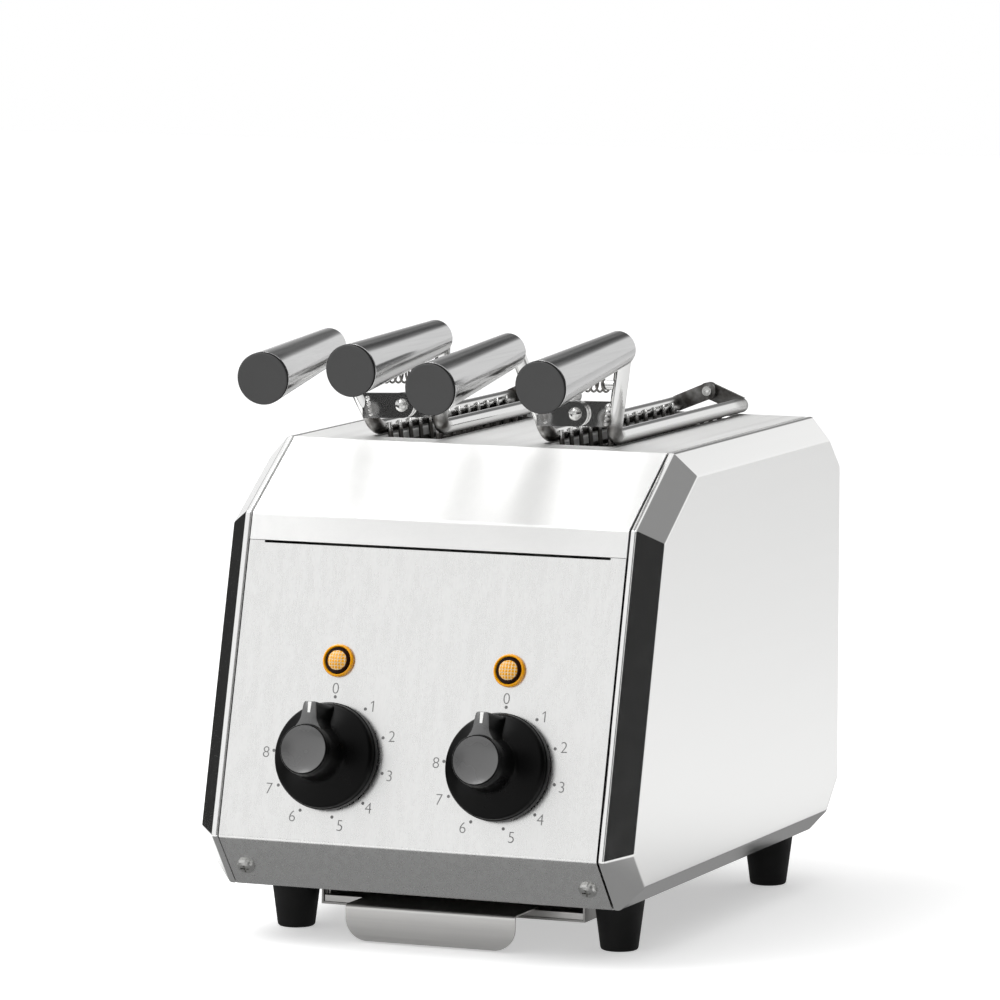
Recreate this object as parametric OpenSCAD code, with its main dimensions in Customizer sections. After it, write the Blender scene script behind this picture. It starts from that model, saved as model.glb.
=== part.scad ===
// Two-slot counter toaster with two spring sandwich tongs.
// Millimetres. +X is the right of the object, +Y its rear, +Z up.
// The origin is under the middle of the whole object, on the table.

/* [Body] */
// Width across the two side shells
body_w = 225; // [215:1:250]
// Depth of the side shells, front to rear
body_d = 308; // [300:1:340]
// Height of the top plate above the table
body_top = 238; // [230:1:260]
// Free height under the body
foot_h = 26.4; // [24:0.2:34]
// Thickness of the outer sheet steel
sheet_t = 1.2; // [1:0.1:1.6]
// Bend radius on the outside of the panels
bend_r = 2.6; // [1.8:0.1:4]
// Lean of the front panel from the vertical
front_lean = 14.8; // [10:0.2:18]
// Height of the lower bend of the front panel
low_bend_z = 52.5; // [48:0.5:58]
// Height of the bend between the front panel and the slanted shoulder
high_bend_z = 205.7; // [198:0.1:210]
// Run of the slanted shoulder, front to rear
shoulder_run = 49.5; // [40:0.5:56]
// Run of the chamfer under the front panel
front_chamfer = 21.3; // [15:0.1:26]
// Run of the two rear chamfers
rear_chamfer_run = 22.5; // [16:0.5:28]
// Rise of the two rear chamfers
rear_chamfer_rise = 21.3; // [16:0.1:26]
// Bevel round each side shell
side_bevel = 11; // [6:0.5:14]
// Flat rim of a side shell, between its bevel and the seam
side_rim = 2.9; // [2:0.1:5]
// Inward flange behind the rim of a side shell
shell_flange = 9; // [7:0.5:12]
// Seam between a side shell and the panels
seam = 0.7; // [0.4:0.1:1.2]
// Depth of the cover's lip over the front and rear panels
cover_lip = 13.2; // [10:0.2:18]
// Air gap between the lip and the front panel
lip_gap = 1.3; // [0.8:0.1:2]
// Width of that air gap
lip_gap_w = 180; // [140:1:184]

/* [Slots] */
// Distance between the centres of the two slots
slot_pitch = 90; // [88:0.5:92]
// Width of a slot
slot_w = 33.5; // [33:0.5:36]
// Length of a slot
slot_l = 165; // [163:1:168]
// Front end of the slots, from the middle of the body
slot_front = -47; // [-49:0.5:-46]
// Depth of the folded edge round a slot
slot_fold = 5; // [3:0.5:8]

/* [Inner frame] */
// Thickness of the inner sheets
inner_t = 1; // [0.8:0.1:1.4]
// Front face of the front bulkhead
front_bulkhead_y = -58; // [-60:0.5:-56]
// Front face of the rear bulkhead
rear_bulkhead_y = 124; // [123:0.5:126]
// Flange width of the bulkheads and the base
frame_flange = 12; // [10:0.5:15]
// Distance of the outer heat shields from the middle
shield_x = 86; // [84:0.5:90]
// Lower edge of the heat shields above the table
shield_low = 38; // [34:0.5:60]
// Upper edge of the heat shields below the top plate
shield_drop = 8; // [6:0.5:16]

/* [Heaters] */
// Distance of a heater row from its slot centre
heater_off = 31; // [29.5:0.5:32]
// Outer diameter of a quartz tube
tube_d = 10; // [8:0.5:11]
// Height of the lowest quartz tube
tube_low = 135; // [130:1:140]
// Height between quartz tubes
tube_step = 35; // [32:0.5:36]
// Tubes in one row
tube_rows = 3; // [2:1:3]
// Length of a ceramic end cap
end_cap_l = 10; // [8:0.5:14]
// Diameter of a ceramic end cap
end_cap_d = 13.5; // [12:0.5:15]

/* [Guard baskets] */
// Free width between the guard wires
guard_w = 42; // [41:0.5:44]
// Diameter of the guard wires
guard_wire_d = 2.4; // [2:0.1:2.6]
// Diameter of the guard rails
guard_rail_d = 3; // [2.6:0.1:3.2]
// Guard wires in one basket
guard_wires = 10; // [8:1:12]
// Drop of the upper guard rail below the top plate
guard_drop = 10; // [9:0.5:14]

/* [Feet] */
// Distance of a foot's middle from the side of the body
foot_side_inset = 27.4; // [24:0.2:32]
// Distance of a front foot's middle from the front bend
foot_front_inset = 63.3; // [56:0.1:74]
// Distance of a rear foot's middle from the rear of the body
foot_rear_inset = 37.9; // [36:0.1:50]
// Diameter of a foot at its top
foot_top_d = 25.4; // [22:0.2:28]
// Diameter of a foot at the table
foot_low_d = 18.6; // [15:0.2:21]

/* [Crumb tray] */
// Width of the tray guide
guide_w = 138.6; // [130:0.2:142]
// Front edge of the tray guide
guide_front = -96; // [-104:0.5:-90]
// Rear edge of the tray guide
guide_rear = 112; // [106:0.5:118]
// Height of the underside of the guide above the table
guide_low = 12.6; // [11:0.1:14]
// Width of the tray's lip
lip_w = 88.7; // [70:0.1:100]
// Position of the outer face of the lip
lip_y = -123; // [-130:0.5:-116]
// Height of the top of the lip
lip_top = 17.6; // [17:0.1:19]
// Height of the lower edge of the lip
lip_low = 1; // [0.6:0.1:3]
// Radius of the lip's lower corners
lip_r = 11; // [6:0.5:13]
// Height of the tray's side walls
tray_wall = 8.5; // [6:0.5:10]
// Thickness of the tray sheet
tray_t = 0.8; // [0.6:0.1:1.2]

/* [Controls] */
// Distance between the two knobs
knob_pitch = 88.8; // [84:0.2:92]
// Height of the knobs
knob_z = 92.9; // [90:0.1:96]
// Diameter of a knob's skirt
knob_d = 52; // [46:0.5:54]
// Height of the knob's rim
knob_rim = 7; // [5:0.5:9]
// Height of a knob above the panel
knob_h = 32; // [30:0.5:36]
// Diameter of the knob's grip
knob_grip_d = 25; // [22:0.5:28]
// Width of the pointer at its tip
pointer_w = 6.4; // [4:0.2:8]
// Reach of the pointer from the knob's axis
pointer_r = 23.4; // [20:0.2:25]
// Diameter of the timer shaft
shaft_d = 6; // [5:0.5:6.5]
// Width and height of the timer body
timer_w = 44; // [40:1:46]
// Depth of the timer body
timer_l = 36; // [30:1:40]
// Height of the pilot lamps
lamp_z = 138; // [134:0.5:146]
// Diameter of a pilot lamp's rim
lamp_d = 16; // [14:0.5:18]

/* [Tongs] */
// Diameter of the tong rods
rod_d = 7.4; // [6.6:0.2:7.6]
// Distance of a rod from the middle of its tong
rod_x = 17.2; // [17:0.1:18]
// Drop of the rods below the front hinge
rod_drop = 11.5; // [10:0.1:12]
// Front bend of the rods
rod_front_y = -45.5; // [-46:0.5:-43]
// Rear end of the rods
rod_rear_y = 131.5; // [131:0.5:134]
// Position of the front hinge plates
hinge_front_y = -52.6; // [-54:0.1:-52]
// Position of the rear hinge plates
hinge_rear_y = 128; // [126:0.5:129]
// Drop of the rear hinge below the front hinge
hinge_fall = 4.6; // [3:0.2:5]
// Thickness of a hinge plate
lug_t = 2.4; // [2:0.1:2.6]
// End radius of a hinge plate
lug_r = 6.3; // [5.5:0.1:6.5]
// Diameter of the front hinge rivet
rivet_d = 4; // [3:0.2:4.6]
// Sideways place of a handle's rear face
handle_x = 28.5; // [26:0.5:31]
// Place of a handle's rear face, front to rear
handle_y = -65; // [-68:0.5:-64]
// Height of a handle's rear face above the front hinge
handle_z = 32.5; // [30:0.5:36]
// Length of a handle with its end cap
handle_l = 100; // [85:1:115]
// Diameter of a handle at its rear
handle_rear_d = 17.4; // [15:0.2:19]
// Diameter of a handle at its front
handle_front_d = 25; // [22:0.2:27]
// Thickness of a handle's end cap
cap_t = 2.6; // [2:0.1:4]
// Height of the spring above the front hinge
spring_z = 14.7; // [14:0.1:17]
// Outer diameter of the spring
spring_d = 8; // [7:0.2:9]
// Wire of the spring
spring_wire = 1.1; // [0.9:0.1:1.3]
// Turns of the spring
spring_turns = 11; // [9:1:14]
// Depth of a cage below the front hinge
cage_depth = 125; // [115:1:140]
// Front edge of a cage
cage_front = -38; // [-42:0.5:-36]
// Rear edge of a cage
cage_rear = 112; // [100:1:113]
// Distance of a cage from the tong's middle at its top
cage_top_x = 13.2; // [13:0.1:13.4]
// Distance of a cage from the tong's middle at its bottom
cage_low_x = 5; // [4:0.5:7]
// Diameter of the cage wires
cage_wire_d = 2.2; // [1.8:0.1:2.4]
// Diameter of the cage's edge wire
cage_edge_d = 3.2; // [2.6:0.1:3.4]
// Upright wires in a cage
cage_wires = 13; // [9:1:15]

/* [Hidden] */
$fn = 48;

LEFT = 0;
RIGHT = 1;
fit = 0.3;
running = 0.05;

// Side outline, as [y, z], clockwise seen from the right
front_y = -body_d / 2;
rear_y = body_d / 2;
head_y = front_y + (high_bend_z - low_bend_z) * tan(front_lean);
outline = [
    [front_y + front_chamfer, foot_h],
    [front_y, low_bend_z],
    [head_y, high_bend_z],
    [head_y + shoulder_run, body_top],
    [rear_y - rear_chamfer_run, body_top],
    [rear_y, body_top - rear_chamfer_rise],
    [rear_y, foot_h + rear_chamfer_rise],
    [rear_y - rear_chamfer_run, foot_h]
];
half_w = body_w / 2;
foot_x = half_w - foot_side_inset;
foot_front_y = front_y + foot_front_inset;
foot_rear_y = rear_y - foot_rear_inset;
bevel_x = half_w - side_bevel;
rim_x = bevel_x - side_rim;
panel_x = rim_x - seam;
base_low = foot_h + sheet_t;
base_top = base_low + sheet_t;
cover_low = body_top - sheet_t;
slot_x = slot_pitch / 2;
slot_rear = slot_front + slot_l;
chamber_front = front_bulkhead_y + inner_t;

// Placing of each tong in its slot: the left one leans more, as it was put down
tong_shift = [-0.8, 0.7];
tong_lean = [2.6, 0.6];
// How each hand-bent bar sets its handle apart from the pair's place, sideways and up
handle_set = [[[-2.5, -1.5], [-2.4, 1.9]], [[0.1, -1.1], [0.2, 1.4]]];
// Toe-in of the left and right handle of each tong, and how far the pair points down
handle_toe = [[4.6, 1.9], [-0.3, 0.9]];
handle_drop = [4.75, 6.15];
// The lower rod of a tong rests on the top plate
rest_gap = 0.3;
function hinge_z(i) =
    body_top + rest_gap + rod_d / 2 + rod_drop * cos(tong_lean[i]) + rod_x * sin(tong_lean[i]);
hinge_tilt = atan(hinge_fall / (hinge_rear_y - hinge_front_y));

// Middle of the whole object, front to rear, so that the origin lies under it
gland_reach = 6;
cap_r = handle_front_d / 2 + 0.1;
cap_edge = 0.7;
function handle_along(i, h) = cos(handle_toe[i][h]) * cos(handle_drop[i]);
handle_front_y = handle_y - max([
    for (i = [LEFT, RIGHT]) for (h = [LEFT, RIGHT])
        handle_l * handle_along(i, h) + (cap_r - cap_edge) * sqrt(1 - pow(handle_along(i, h), 2))
]);
knob_face_r = (knob_grip_d / 2 - 1.2) * 0.92;
frame_y = -(knob_front_y() + rear_y + gland_reach) / 2;

// Plain vector helpers
function unit(v) = v / norm(v);
function inward(v) = [v.y, -v.x];
function moved_corner(a, b, c, d) =
    let (n = inward(unit(b - a)), m = inward(unit(c - b)))
    b + (n + m) * d / (1 + n * m);
function inset(loop, d) =
    let (n = len(loop))
    [for (i = [0:n - 1]) moved_corner(loop[(i + n - 1) % n], loop[i], loop[(i + 1) % n], d)];
function moved_path(path, d) =
    let (n = len(path), first = inward(unit(path[1] - path[0])), last = inward(unit(path[n - 1] - path[n - 2])))
    concat(
        [path[0] + first * d],
        [for (i = [1:1:n - 2]) moved_corner(path[i - 1], path[i], path[i + 1], d)],
        [path[n - 1] + last * d]
    );
function arc_corner(a, b, c, r, steps) =
    let (
        u = unit(a - b),
        w = unit(c - b),
        half = acos(u * w) / 2,
        centre = b + unit(u + w) * r / sin(half),
        p = b + u * r / tan(half) - centre,
        q = b + w * r / tan(half) - centre,
        start = atan2(p.y, p.x),
        turn = atan2(q.y, q.x) - start,
        sweep = turn > 180 ? turn - 360 : turn < -180 ? turn + 360 : turn
    )
    [for (k = [0:steps]) centre + r * [cos(start + sweep * k / steps), sin(start + sweep * k / steps)]];
function rounded(path, r, steps = 4) =
    let (n = len(path))
    concat(
        [path[0]],
        [for (i = [1:1:n - 2]) each arc_corner(path[i - 1], path[i], path[i + 1], r, steps)],
        [path[n - 1]]
    );
function reversed(list) = [for (i = [len(list) - 1:-1:0]) list[i]];
function folded_sheet(path, t, r) =
    concat(rounded(path, r), reversed(rounded(moved_path(path, t), max(r - t, 0.2))));
function at_height(a, b, z) = a + (b - a) * (z - a.y) / (b.y - a.y);
function knob_front_y() = min(
    handle_front_y,
    at_height(outline[1], outline[2], knob_z).x - knob_h * cos(front_lean) - knob_face_r * sin(front_lean)
);
function along(a, b, d) = a + unit(b - a) * d;
function bow(a, b, c, t) = a * (1 - t) * (1 - t) + b * 2 * t * (1 - t) + c * t * t;

// Plain shape helpers
module along_x(x0, x1) {
    translate([x0, 0, 0]) rotate([90, 0, 90]) linear_extrude(x1 - x0) children();
}
module in_xz(y0, t) {
    translate([0, y0 + t, 0]) rotate([90, 0, 0]) linear_extrude(t) children();
}
module place() {
    translate([0, frame_y, 0]) children();
}
module both_sides() {
    children();
    mirror([1, 0, 0]) children();
}
module aim(p, d) {
    translate(p) rotate([0, acos(d.z), atan2(d.y, d.x)]) children();
}
module bar(a, b, r) {
    aim(a, unit(b - a)) cylinder(h = norm(b - a), r = r);
}
// Turn of a round rod from direction u to direction w, starting at p
module bend(p, u, w, bend_radius, r) {
    out = -unit(w - (w * u) * u);
    axis = cross(out, u);
    centre = p - out * bend_radius;
    multmatrix([for (k = [0:2]) [out[k], u[k], axis[k], centre[k]]])
        rotate_extrude(angle = acos(u * w)) translate([bend_radius, 0]) circle(r);
}
// Round rod along points, with a turn of the given radius at each inner point.
// A turn is a hair thicker than its bars, which run a little way into it.
swell = 0.02;
lap = 0.3;
module rod_run(points, radii, r) {
    n = len(points);
    way = [for (i = [0:n - 2]) unit(points[i + 1] - points[i])];
    cut = [for (i = [0:n - 1])
        i == 0 || i == n - 1 ? 0 : radii[i - 1] * tan(acos(way[i - 1] * way[i]) / 2) - lap];
    for (i = [0:n - 2]) {
        bar(points[i] + way[i] * cut[i], points[i + 1] - way[i] * cut[i + 1], r);
    }
    for (i = [1:1:n - 2]) {
        bend(points[i] - way[i - 1] * (cut[i] + lap), way[i - 1], way[i], radii[i - 1], r + swell);
    }
}
// Domed end of a rod
module dome(p, d, r) {
    aim(p, d) rotate_extrude() polygon(concat(
        [[0, -1], [r - swell, -1]],
        [for (a = [0:15:75]) [(r - swell) * cos(a), r * 0.8 * sin(a)]],
        [[0, r * 0.8]]
    ));
}
// Stands its children on the front panel: +Z out of the panel, +Y up it
panel_zero = at_height(outline[1], outline[2], 0);
module on_panel(x, z) {
    p = at_height(outline[1], outline[2], z);
    translate([x, p.x, p.y]) rotate([90 - front_lean, 0, 0]) children();
}

// Side shell: pressed sheet with a bevel all round, a rim and an inward flange
module bevelled_slab(off, x0) {
    rim = inset(outline, off);
    start = bevel_x - off * tan(22.5);
    face = inset(rim, half_w - off - start);
    n = len(rim);
    rings = [[x0, rim], [start, rim], [half_w - off, face]];
    points = [for (ring = rings) for (p = ring[1]) [ring[0], p.x, p.y]];
    walls = [
        for (k = [0, 1])
            for (i = [0:n - 1])
                let (a = k * n + i, b = k * n + (i + 1) % n)
                [a, b, b + n, a + n]
    ];
    ends = [[for (i = [n - 1:-1:0]) i], [for (i = [0:n - 1]) 2 * n + i]];
    polyhedron(points, concat(walls, ends));
}
module side_shell() {
    difference() {
        union() {
            difference() {
                bevelled_slab(0, rim_x);
                bevelled_slab(sheet_t, rim_x - 1);
            }
            along_x(rim_x, rim_x + sheet_t) difference() {
                polygon(inset(outline, sheet_t / 2));
                polygon(inset(outline, shell_flange));
            }
        }
        shell_screw_places() cylinder(h = 4 * sheet_t, r = shell_screw_r + 0.1, center = true);
    }
}
shell_screw_r = 1.6;
shell_screw_ys = [chamber_front + frame_flange / 2, rear_bulkhead_y - frame_flange / 2];
shell_screw_zs = [foot_h + shell_flange - 3.2, body_top - shell_flange + 3.2];
module shell_screw_places() {
    for (y = shell_screw_ys) {
        for (z = shell_screw_zs) {
            translate([rim_x, y, z]) rotate([0, 90, 0]) children();
        }
    }
}
module side_shell_screws() {
    color("silver") place() both_sides() for (y = shell_screw_ys) {
        for (k = [0, 1]) {
            grip = [sheet_t, inner_t][k];
            translate([rim_x - grip, y, shell_screw_zs[k]]) rotate([0, 90, 0]) {
                translate([0, 0, -2]) cylinder(h = 2, r = 3);
                cylinder(h = grip + sheet_t + 3, r = shell_screw_r);
            }
        }
    }
}
module side_shell_left() {
    color("gainsboro") place() mirror([1, 0, 0]) side_shell();
}
module side_shell_right() {
    color("gainsboro") place() side_shell();
}

// Top cover: shoulder, top plate and rear chamfer in one folded sheet
lip_z = high_bend_z - cover_lip * cos(front_lean);
rear_lip_z = body_top - rear_chamfer_rise - cover_lip;
module slot_places() {
    for (s = [-1, 1]) {
        translate([s * slot_x, (slot_front + slot_rear) / 2, 0]) children();
    }
}
module slot_block(extra, z0, z1) {
    translate([-slot_w / 2 - extra, -slot_l / 2 - extra, z0]) cube([slot_w + 2 * extra, slot_l + 2 * extra, z1 - z0]);
}
module top_cover() {
    path = [
        at_height(outline[1], outline[2], lip_z),
        outline[2], outline[3], outline[4], outline[5],
        [rear_y, rear_lip_z]
    ];
    color("whitesmoke") place() difference() {
        union() {
            along_x(-panel_x, panel_x) polygon(folded_sheet(path, sheet_t, bend_r));
            slot_places() slot_block(inner_t, body_top - slot_fold, body_top - sheet_t / 2);
        }
        slot_places() slot_block(0, body_top - slot_fold - 1, body_top + 1);
    }
}

// Front panel: upright face and lower chamfer, folded under the base
panel_return = 10;
module panel_sheet(low, bend_point, top) {
    inner = low.x > 0 ? -panel_return : panel_return;
    path = low.x > 0
        ? [top, bend_point, low, low + [inner, 0]]
        : [low + [inner, 0], low, bend_point, top];
    along_x(-panel_x, panel_x) polygon(folded_sheet(path, sheet_t, bend_r));
}
chamfer_screw_x = panel_x - 9;
chamfer_screw_up = 14;
screw_r = 2.2;
module front_screw_places() {
    mid = along(outline[0], outline[1], chamfer_screw_up);
    e = outline[1] - outline[0];
    for (s = [-1, 1]) {
        translate([s * chamfer_screw_x, mid.x, mid.y]) rotate([atan2(e.y, e.x), 0, 0]) children();
    }
}
module rear_screw_places() {
    mid = along(outline[7], outline[6], chamfer_screw_up);
    e = outline[7] - outline[6];
    for (s = [-1, 1]) {
        translate([s * chamfer_screw_x, mid.x, mid.y]) rotate([atan2(e.y, e.x), 0, 0]) children();
    }
}
bush_d = 9.6;
lamp_hole_d = lamp_d - 4;
module front_panel() {
    top = at_height(outline[1], outline[2], lip_z - 0.2);
    color("whitesmoke") place() difference() {
        panel_sheet(outline[0], outline[1], top);
        on_panel(0, lip_z) translate([-lip_gap_w / 2, -lip_gap, -10]) cube([lip_gap_w, 10, 20]);
        for (s = [-1, 1]) {
            on_panel(s * knob_pitch / 2, knob_z) cylinder(h = 10, r = bush_d / 2 + 0.1, center = true);
            on_panel(s * knob_pitch / 2, lamp_z) cylinder(h = 10, r = lamp_hole_d / 2 + 0.1, center = true);
        }
        front_screw_places() cylinder(h = 10, r = screw_r + 0.1, center = true);
    }
}

// Rear panel: plain sheet with vents and the cable gland's hole
vent_w = 3.2;
vent_l = 26;
vent_step = 9;
vent_z = [90, 150];
gland_x = -72;
gland_z = 62;
gland_r = 8;
module rear_panel() {
    color("gainsboro") place() difference() {
        panel_sheet(outline[7], outline[6], [rear_y, rear_lip_z - 0.2]);
        for (z = vent_z) {
            for (k = [-5:5]) {
                translate([k * vent_step, rear_y + 2, z]) rotate([90, 0, 0]) linear_extrude(6) {
                    translate([-vent_w / 2, 0]) square([vent_w, vent_l]);
                    circle(vent_w / 2);
                    translate([0, vent_l]) circle(vent_w / 2);
                }
            }
        }
        translate([gland_x, rear_y, gland_z]) rotate([90, 0, 0]) cylinder(h = 10, r = gland_r + 0.1, center = true);
        rear_screw_places() cylinder(h = 10, r = screw_r + 0.1, center = true);
        foot_places() cylinder(h = base_top, r = foot_top_d / 2 + 0.5);
    }
}

// Pan-head screw with a cross recess, head at z 0 upwards
module pan_screw(head_r, head_h, r, length) {
    difference() {
        union() {
            rotate_extrude() polygon([
                [0, 0], [head_r, 0], [head_r, head_h * 0.35],
                [head_r * 0.86, head_h * 0.75], [head_r * 0.55, head_h], [0, head_h]
            ]);
            translate([0, 0, -length]) cylinder(h = length + 0.2, r = r);
        }
        for (a = [0, 90]) {
            rotate([0, 0, a]) translate([-head_r * 0.5, -0.45, head_h * 0.45]) cube([head_r, 0.9, head_h]);
        }
    }
}
module front_panel_screws() {
    color("silver") place() front_screw_places() pan_screw(4.5, 2.6, screw_r, 8);
}
module rear_panel_screws() {
    color("silver") place() rear_screw_places() pan_screw(4.5, 2.6, screw_r, 8);
}

// Base plate: tray-shaped floor with upturned edges and the crumb opening
crumb_x = guide_w / 2 - 9;
crumb_front = chamber_front + 10;
crumb_rear = guide_rear - 8;
module base_plate() {
    inner = inset(outline, sheet_t);
    path = [
        along(inner[0], inner[1], 22), inner[0], inner[7], along(inner[7], inner[6], 22)
    ];
    color("darkgray") place() difference() {
        union() {
            along_x(-panel_x, panel_x) polygon(folded_sheet(reversed(path), sheet_t, bend_r));
            both_sides() translate([rim_x - sheet_t, inner[0].x + 6, base_low])
                cube([sheet_t, inner[7].x - inner[0].x - 12, frame_flange]);
            both_sides() translate([panel_x - 1, inner[0].x + 6, base_low])
                cube([rim_x - panel_x + 1, inner[7].x - inner[0].x - 12, sheet_t]);
        }
        translate([-crumb_x, crumb_front, base_low - 1]) cube([2 * crumb_x, crumb_rear - crumb_front, 4]);
        foot_places() cylinder(h = 60, r = foot_screw_r + 0.2);
        front_screw_places() cylinder(h = 20, r = screw_r + 0.05, center = true);
        rear_screw_places() cylinder(h = 20, r = screw_r + 0.05, center = true);
        both_sides() shell_screw_places() cylinder(h = 4 * sheet_t, r = shell_screw_r + 0.1, center = true);
    }
}

// Feet: tapered rubber, bored for their screws
foot_screw_r = 2.4;
foot_seat = 11;
module foot_places() {
    for (x = [-1, 1]) {
        for (y = [foot_front_y, foot_rear_y]) {
            translate([x * foot_x, y, 0]) children();
        }
    }
}
module foot(x, y) {
    low_r = foot_low_d / 2;
    top_r = foot_top_d / 2;
    edge = 2;
    slope = (top_r - low_r) / base_low;
    color("black") place() translate([x, y, 0]) rotate_extrude() polygon(concat(
        [[foot_screw_r + 0.2, foot_seat], [5.4, foot_seat], [5.4, 0]],
        [for (a = [0:15:75]) [low_r - edge + edge * sin(a), edge - edge * cos(a)]],
        [[low_r + slope * edge, edge], [top_r, base_low], [foot_screw_r + 0.2, base_low]]
    ));
}
module foot_front_left() {
    foot(-foot_x, foot_front_y);
}
module foot_front_right() {
    foot(foot_x, foot_front_y);
}
module foot_rear_left() {
    foot(-foot_x, foot_rear_y);
}
module foot_rear_right() {
    foot(foot_x, foot_rear_y);
}
module foot_screws() {
    color("silver") place() foot_places() translate([0, 0, foot_seat]) {
        translate([0, 0, -3.5]) cylinder(h = 3.5, r = 4.6);
        cylinder(h = base_top + 6 - foot_seat, r = foot_screw_r);
    }
}
module foot_nuts() {
    color("silver") place() foot_places() translate([0, 0, base_top]) difference() {
        cylinder(h = 4, r = 4.6, $fn = 6);
        translate([0, 0, -1]) cylinder(h = 6, r = foot_screw_r + 0.05);
    }
}

// Tray guide: channel under the base, open to the front
module tray_guide() {
    foot_clear = foot_top_d / 2 + 1;
    in_w = guide_w - 2 * inner_t;
    color("silver") place() {
        difference() {
            translate([-guide_w / 2, guide_front, guide_low])
                cube([guide_w, guide_rear - guide_front, base_low - guide_low]);
            translate([-in_w / 2, guide_front - 1, guide_low + inner_t])
                cube([in_w, guide_rear - guide_front + 1 - inner_t, base_low]);
        }
        both_sides() translate([guide_w / 2 - inner_t / 2, foot_front_y + foot_clear, base_low - inner_t])
            cube([7, foot_rear_y - foot_front_y - 2 * foot_clear, inner_t]);
    }
}
// Crumb tray: shallow pan, a tongue through the front and a rounded pull lip
module crumb_tray() {
    pan_x = guide_w / 2 - inner_t - fit;
    pan_z = guide_low + inner_t + fit / 2;
    front = guide_front + 1;
    rear = guide_rear - inner_t - fit;
    color("silver") place() {
        difference() {
            translate([-pan_x, front, pan_z]) cube([2 * pan_x, rear - front, tray_wall]);
            translate([-pan_x + tray_t, front + tray_t, pan_z + tray_t])
                cube([2 * (pan_x - tray_t), rear - front - 2 * tray_t, tray_wall]);
            translate([-pan_x - 1, front - 1, lip_top]) cube([2 * pan_x + 2, 6, tray_wall]);
        }
        translate([-lip_w / 2, lip_y + 1, lip_top - tray_t]) cube([lip_w, front - lip_y, tray_t]);
        difference() {
            in_xz(lip_y, tray_t + 1) {
                translate([-lip_w / 2 + lip_r, lip_low]) square([lip_w - 2 * lip_r, lip_top - lip_low]);
                translate([-lip_w / 2, lip_low + lip_r]) square([lip_w, lip_top - lip_low - lip_r]);
                for (s = [-1, 1]) {
                    translate([s * (lip_w / 2 - lip_r), lip_low + lip_r]) circle(lip_r);
                }
            }
            translate([-lip_w, lip_y + tray_t, lip_low - 1]) cube([2 * lip_w, 2, lip_top - lip_low + 1 - tray_t]);
            along_x(-lip_w, lip_w) difference() {
                translate([lip_y - 1, lip_top - 1]) square(2);
                translate([lip_y + 1, lip_top - 1]) circle(1);
                translate([lip_y + 1, lip_top - 2]) square([2, 3]);
            }
        }
    }
}

// Bulkheads carry the heaters, the guard baskets and the shields
function tube_zs() = [for (k = [0:tube_rows - 1]) tube_low + k * tube_step];
weld = 0.4;
rail_zs = [body_top - guard_drop, tube_low + tube_step * 0.5];
rail_x = guard_w / 2 + guard_wire_d + guard_rail_d / 2 - weld;
rest_rail_x = guard_w / 2 - 7;
rest_z = min(cage_lowest(LEFT), cage_lowest(RIGHT)) - fit - guard_wire_d / 2;
rest_rail_z = rest_z - guard_wire_d / 2 - guard_rail_d / 2 + weld;
module tube_places() {
    for (s = [-1, 1]) {
        for (o = [-1, 1]) {
            for (z = tube_zs()) {
                translate([s * slot_x + o * heater_off, 0, z]) rotate([-90, 0, 0]) children();
            }
        }
    }
}
module rail_places() {
    for (s = [-1, 1]) {
        for (o = [-1, 1]) {
            for (z = rail_zs) {
                translate([s * slot_x + o * rail_x, 0, z]) rotate([-90, 0, 0]) children();
            }
            translate([s * slot_x + o * rest_rail_x, 0, rest_rail_z]) rotate([-90, 0, 0]) children();
        }
    }
}
module bulkhead(y, flange_y) {
    flange_low = base_low + frame_flange + fit;
    color("darkgray") place() difference() {
        union() {
            translate([-rim_x + sheet_t, y, base_top]) cube([2 * (rim_x - sheet_t), inner_t, cover_low - base_top]);
            both_sides() translate([rim_x - inner_t, flange_y, flange_low])
                cube([inner_t, frame_flange, cover_low - fit - flange_low]);
            translate([-rim_x, y, flange_low]) cube([2 * rim_x, inner_t, cover_low - fit - flange_low]);
        }
        both_sides() shell_screw_places() cylinder(h = 4 * sheet_t, r = shell_screw_r + 0.1, center = true);
        tube_places() translate([0, 0, y - 5]) cylinder(h = 11, r = tube_d / 2 + fit);
        rail_places() translate([0, 0, y - 5]) cylinder(h = 11, r = guard_rail_d / 2 + 0.1);
    }
}
module front_bulkhead() {
    bulkhead(front_bulkhead_y, front_bulkhead_y);
}
module rear_bulkhead() {
    bulkhead(rear_bulkhead_y, rear_bulkhead_y + inner_t - frame_flange);
}
module heat_shield(x, edge) {
    color("silver") place() {
        translate([x - inner_t / 2, chamber_front, shield_low])
            cube([inner_t, rear_bulkhead_y - chamber_front, body_top - shield_drop - shield_low]);
        for (z = [shield_low, body_top - shield_drop - inner_t]) {
            translate([x - inner_t / 2 + min(edge, 0), chamber_front + 14, z])
                cube([inner_t + abs(edge), rear_bulkhead_y - chamber_front - 28, inner_t]);
        }
    }
}
module heat_shield_left() {
    heat_shield(-shield_x, -7);
}
module heat_shield_centre() {
    heat_shield(0, 0);
}
module heat_shield_right() {
    heat_shield(shield_x, 7);
}

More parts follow.
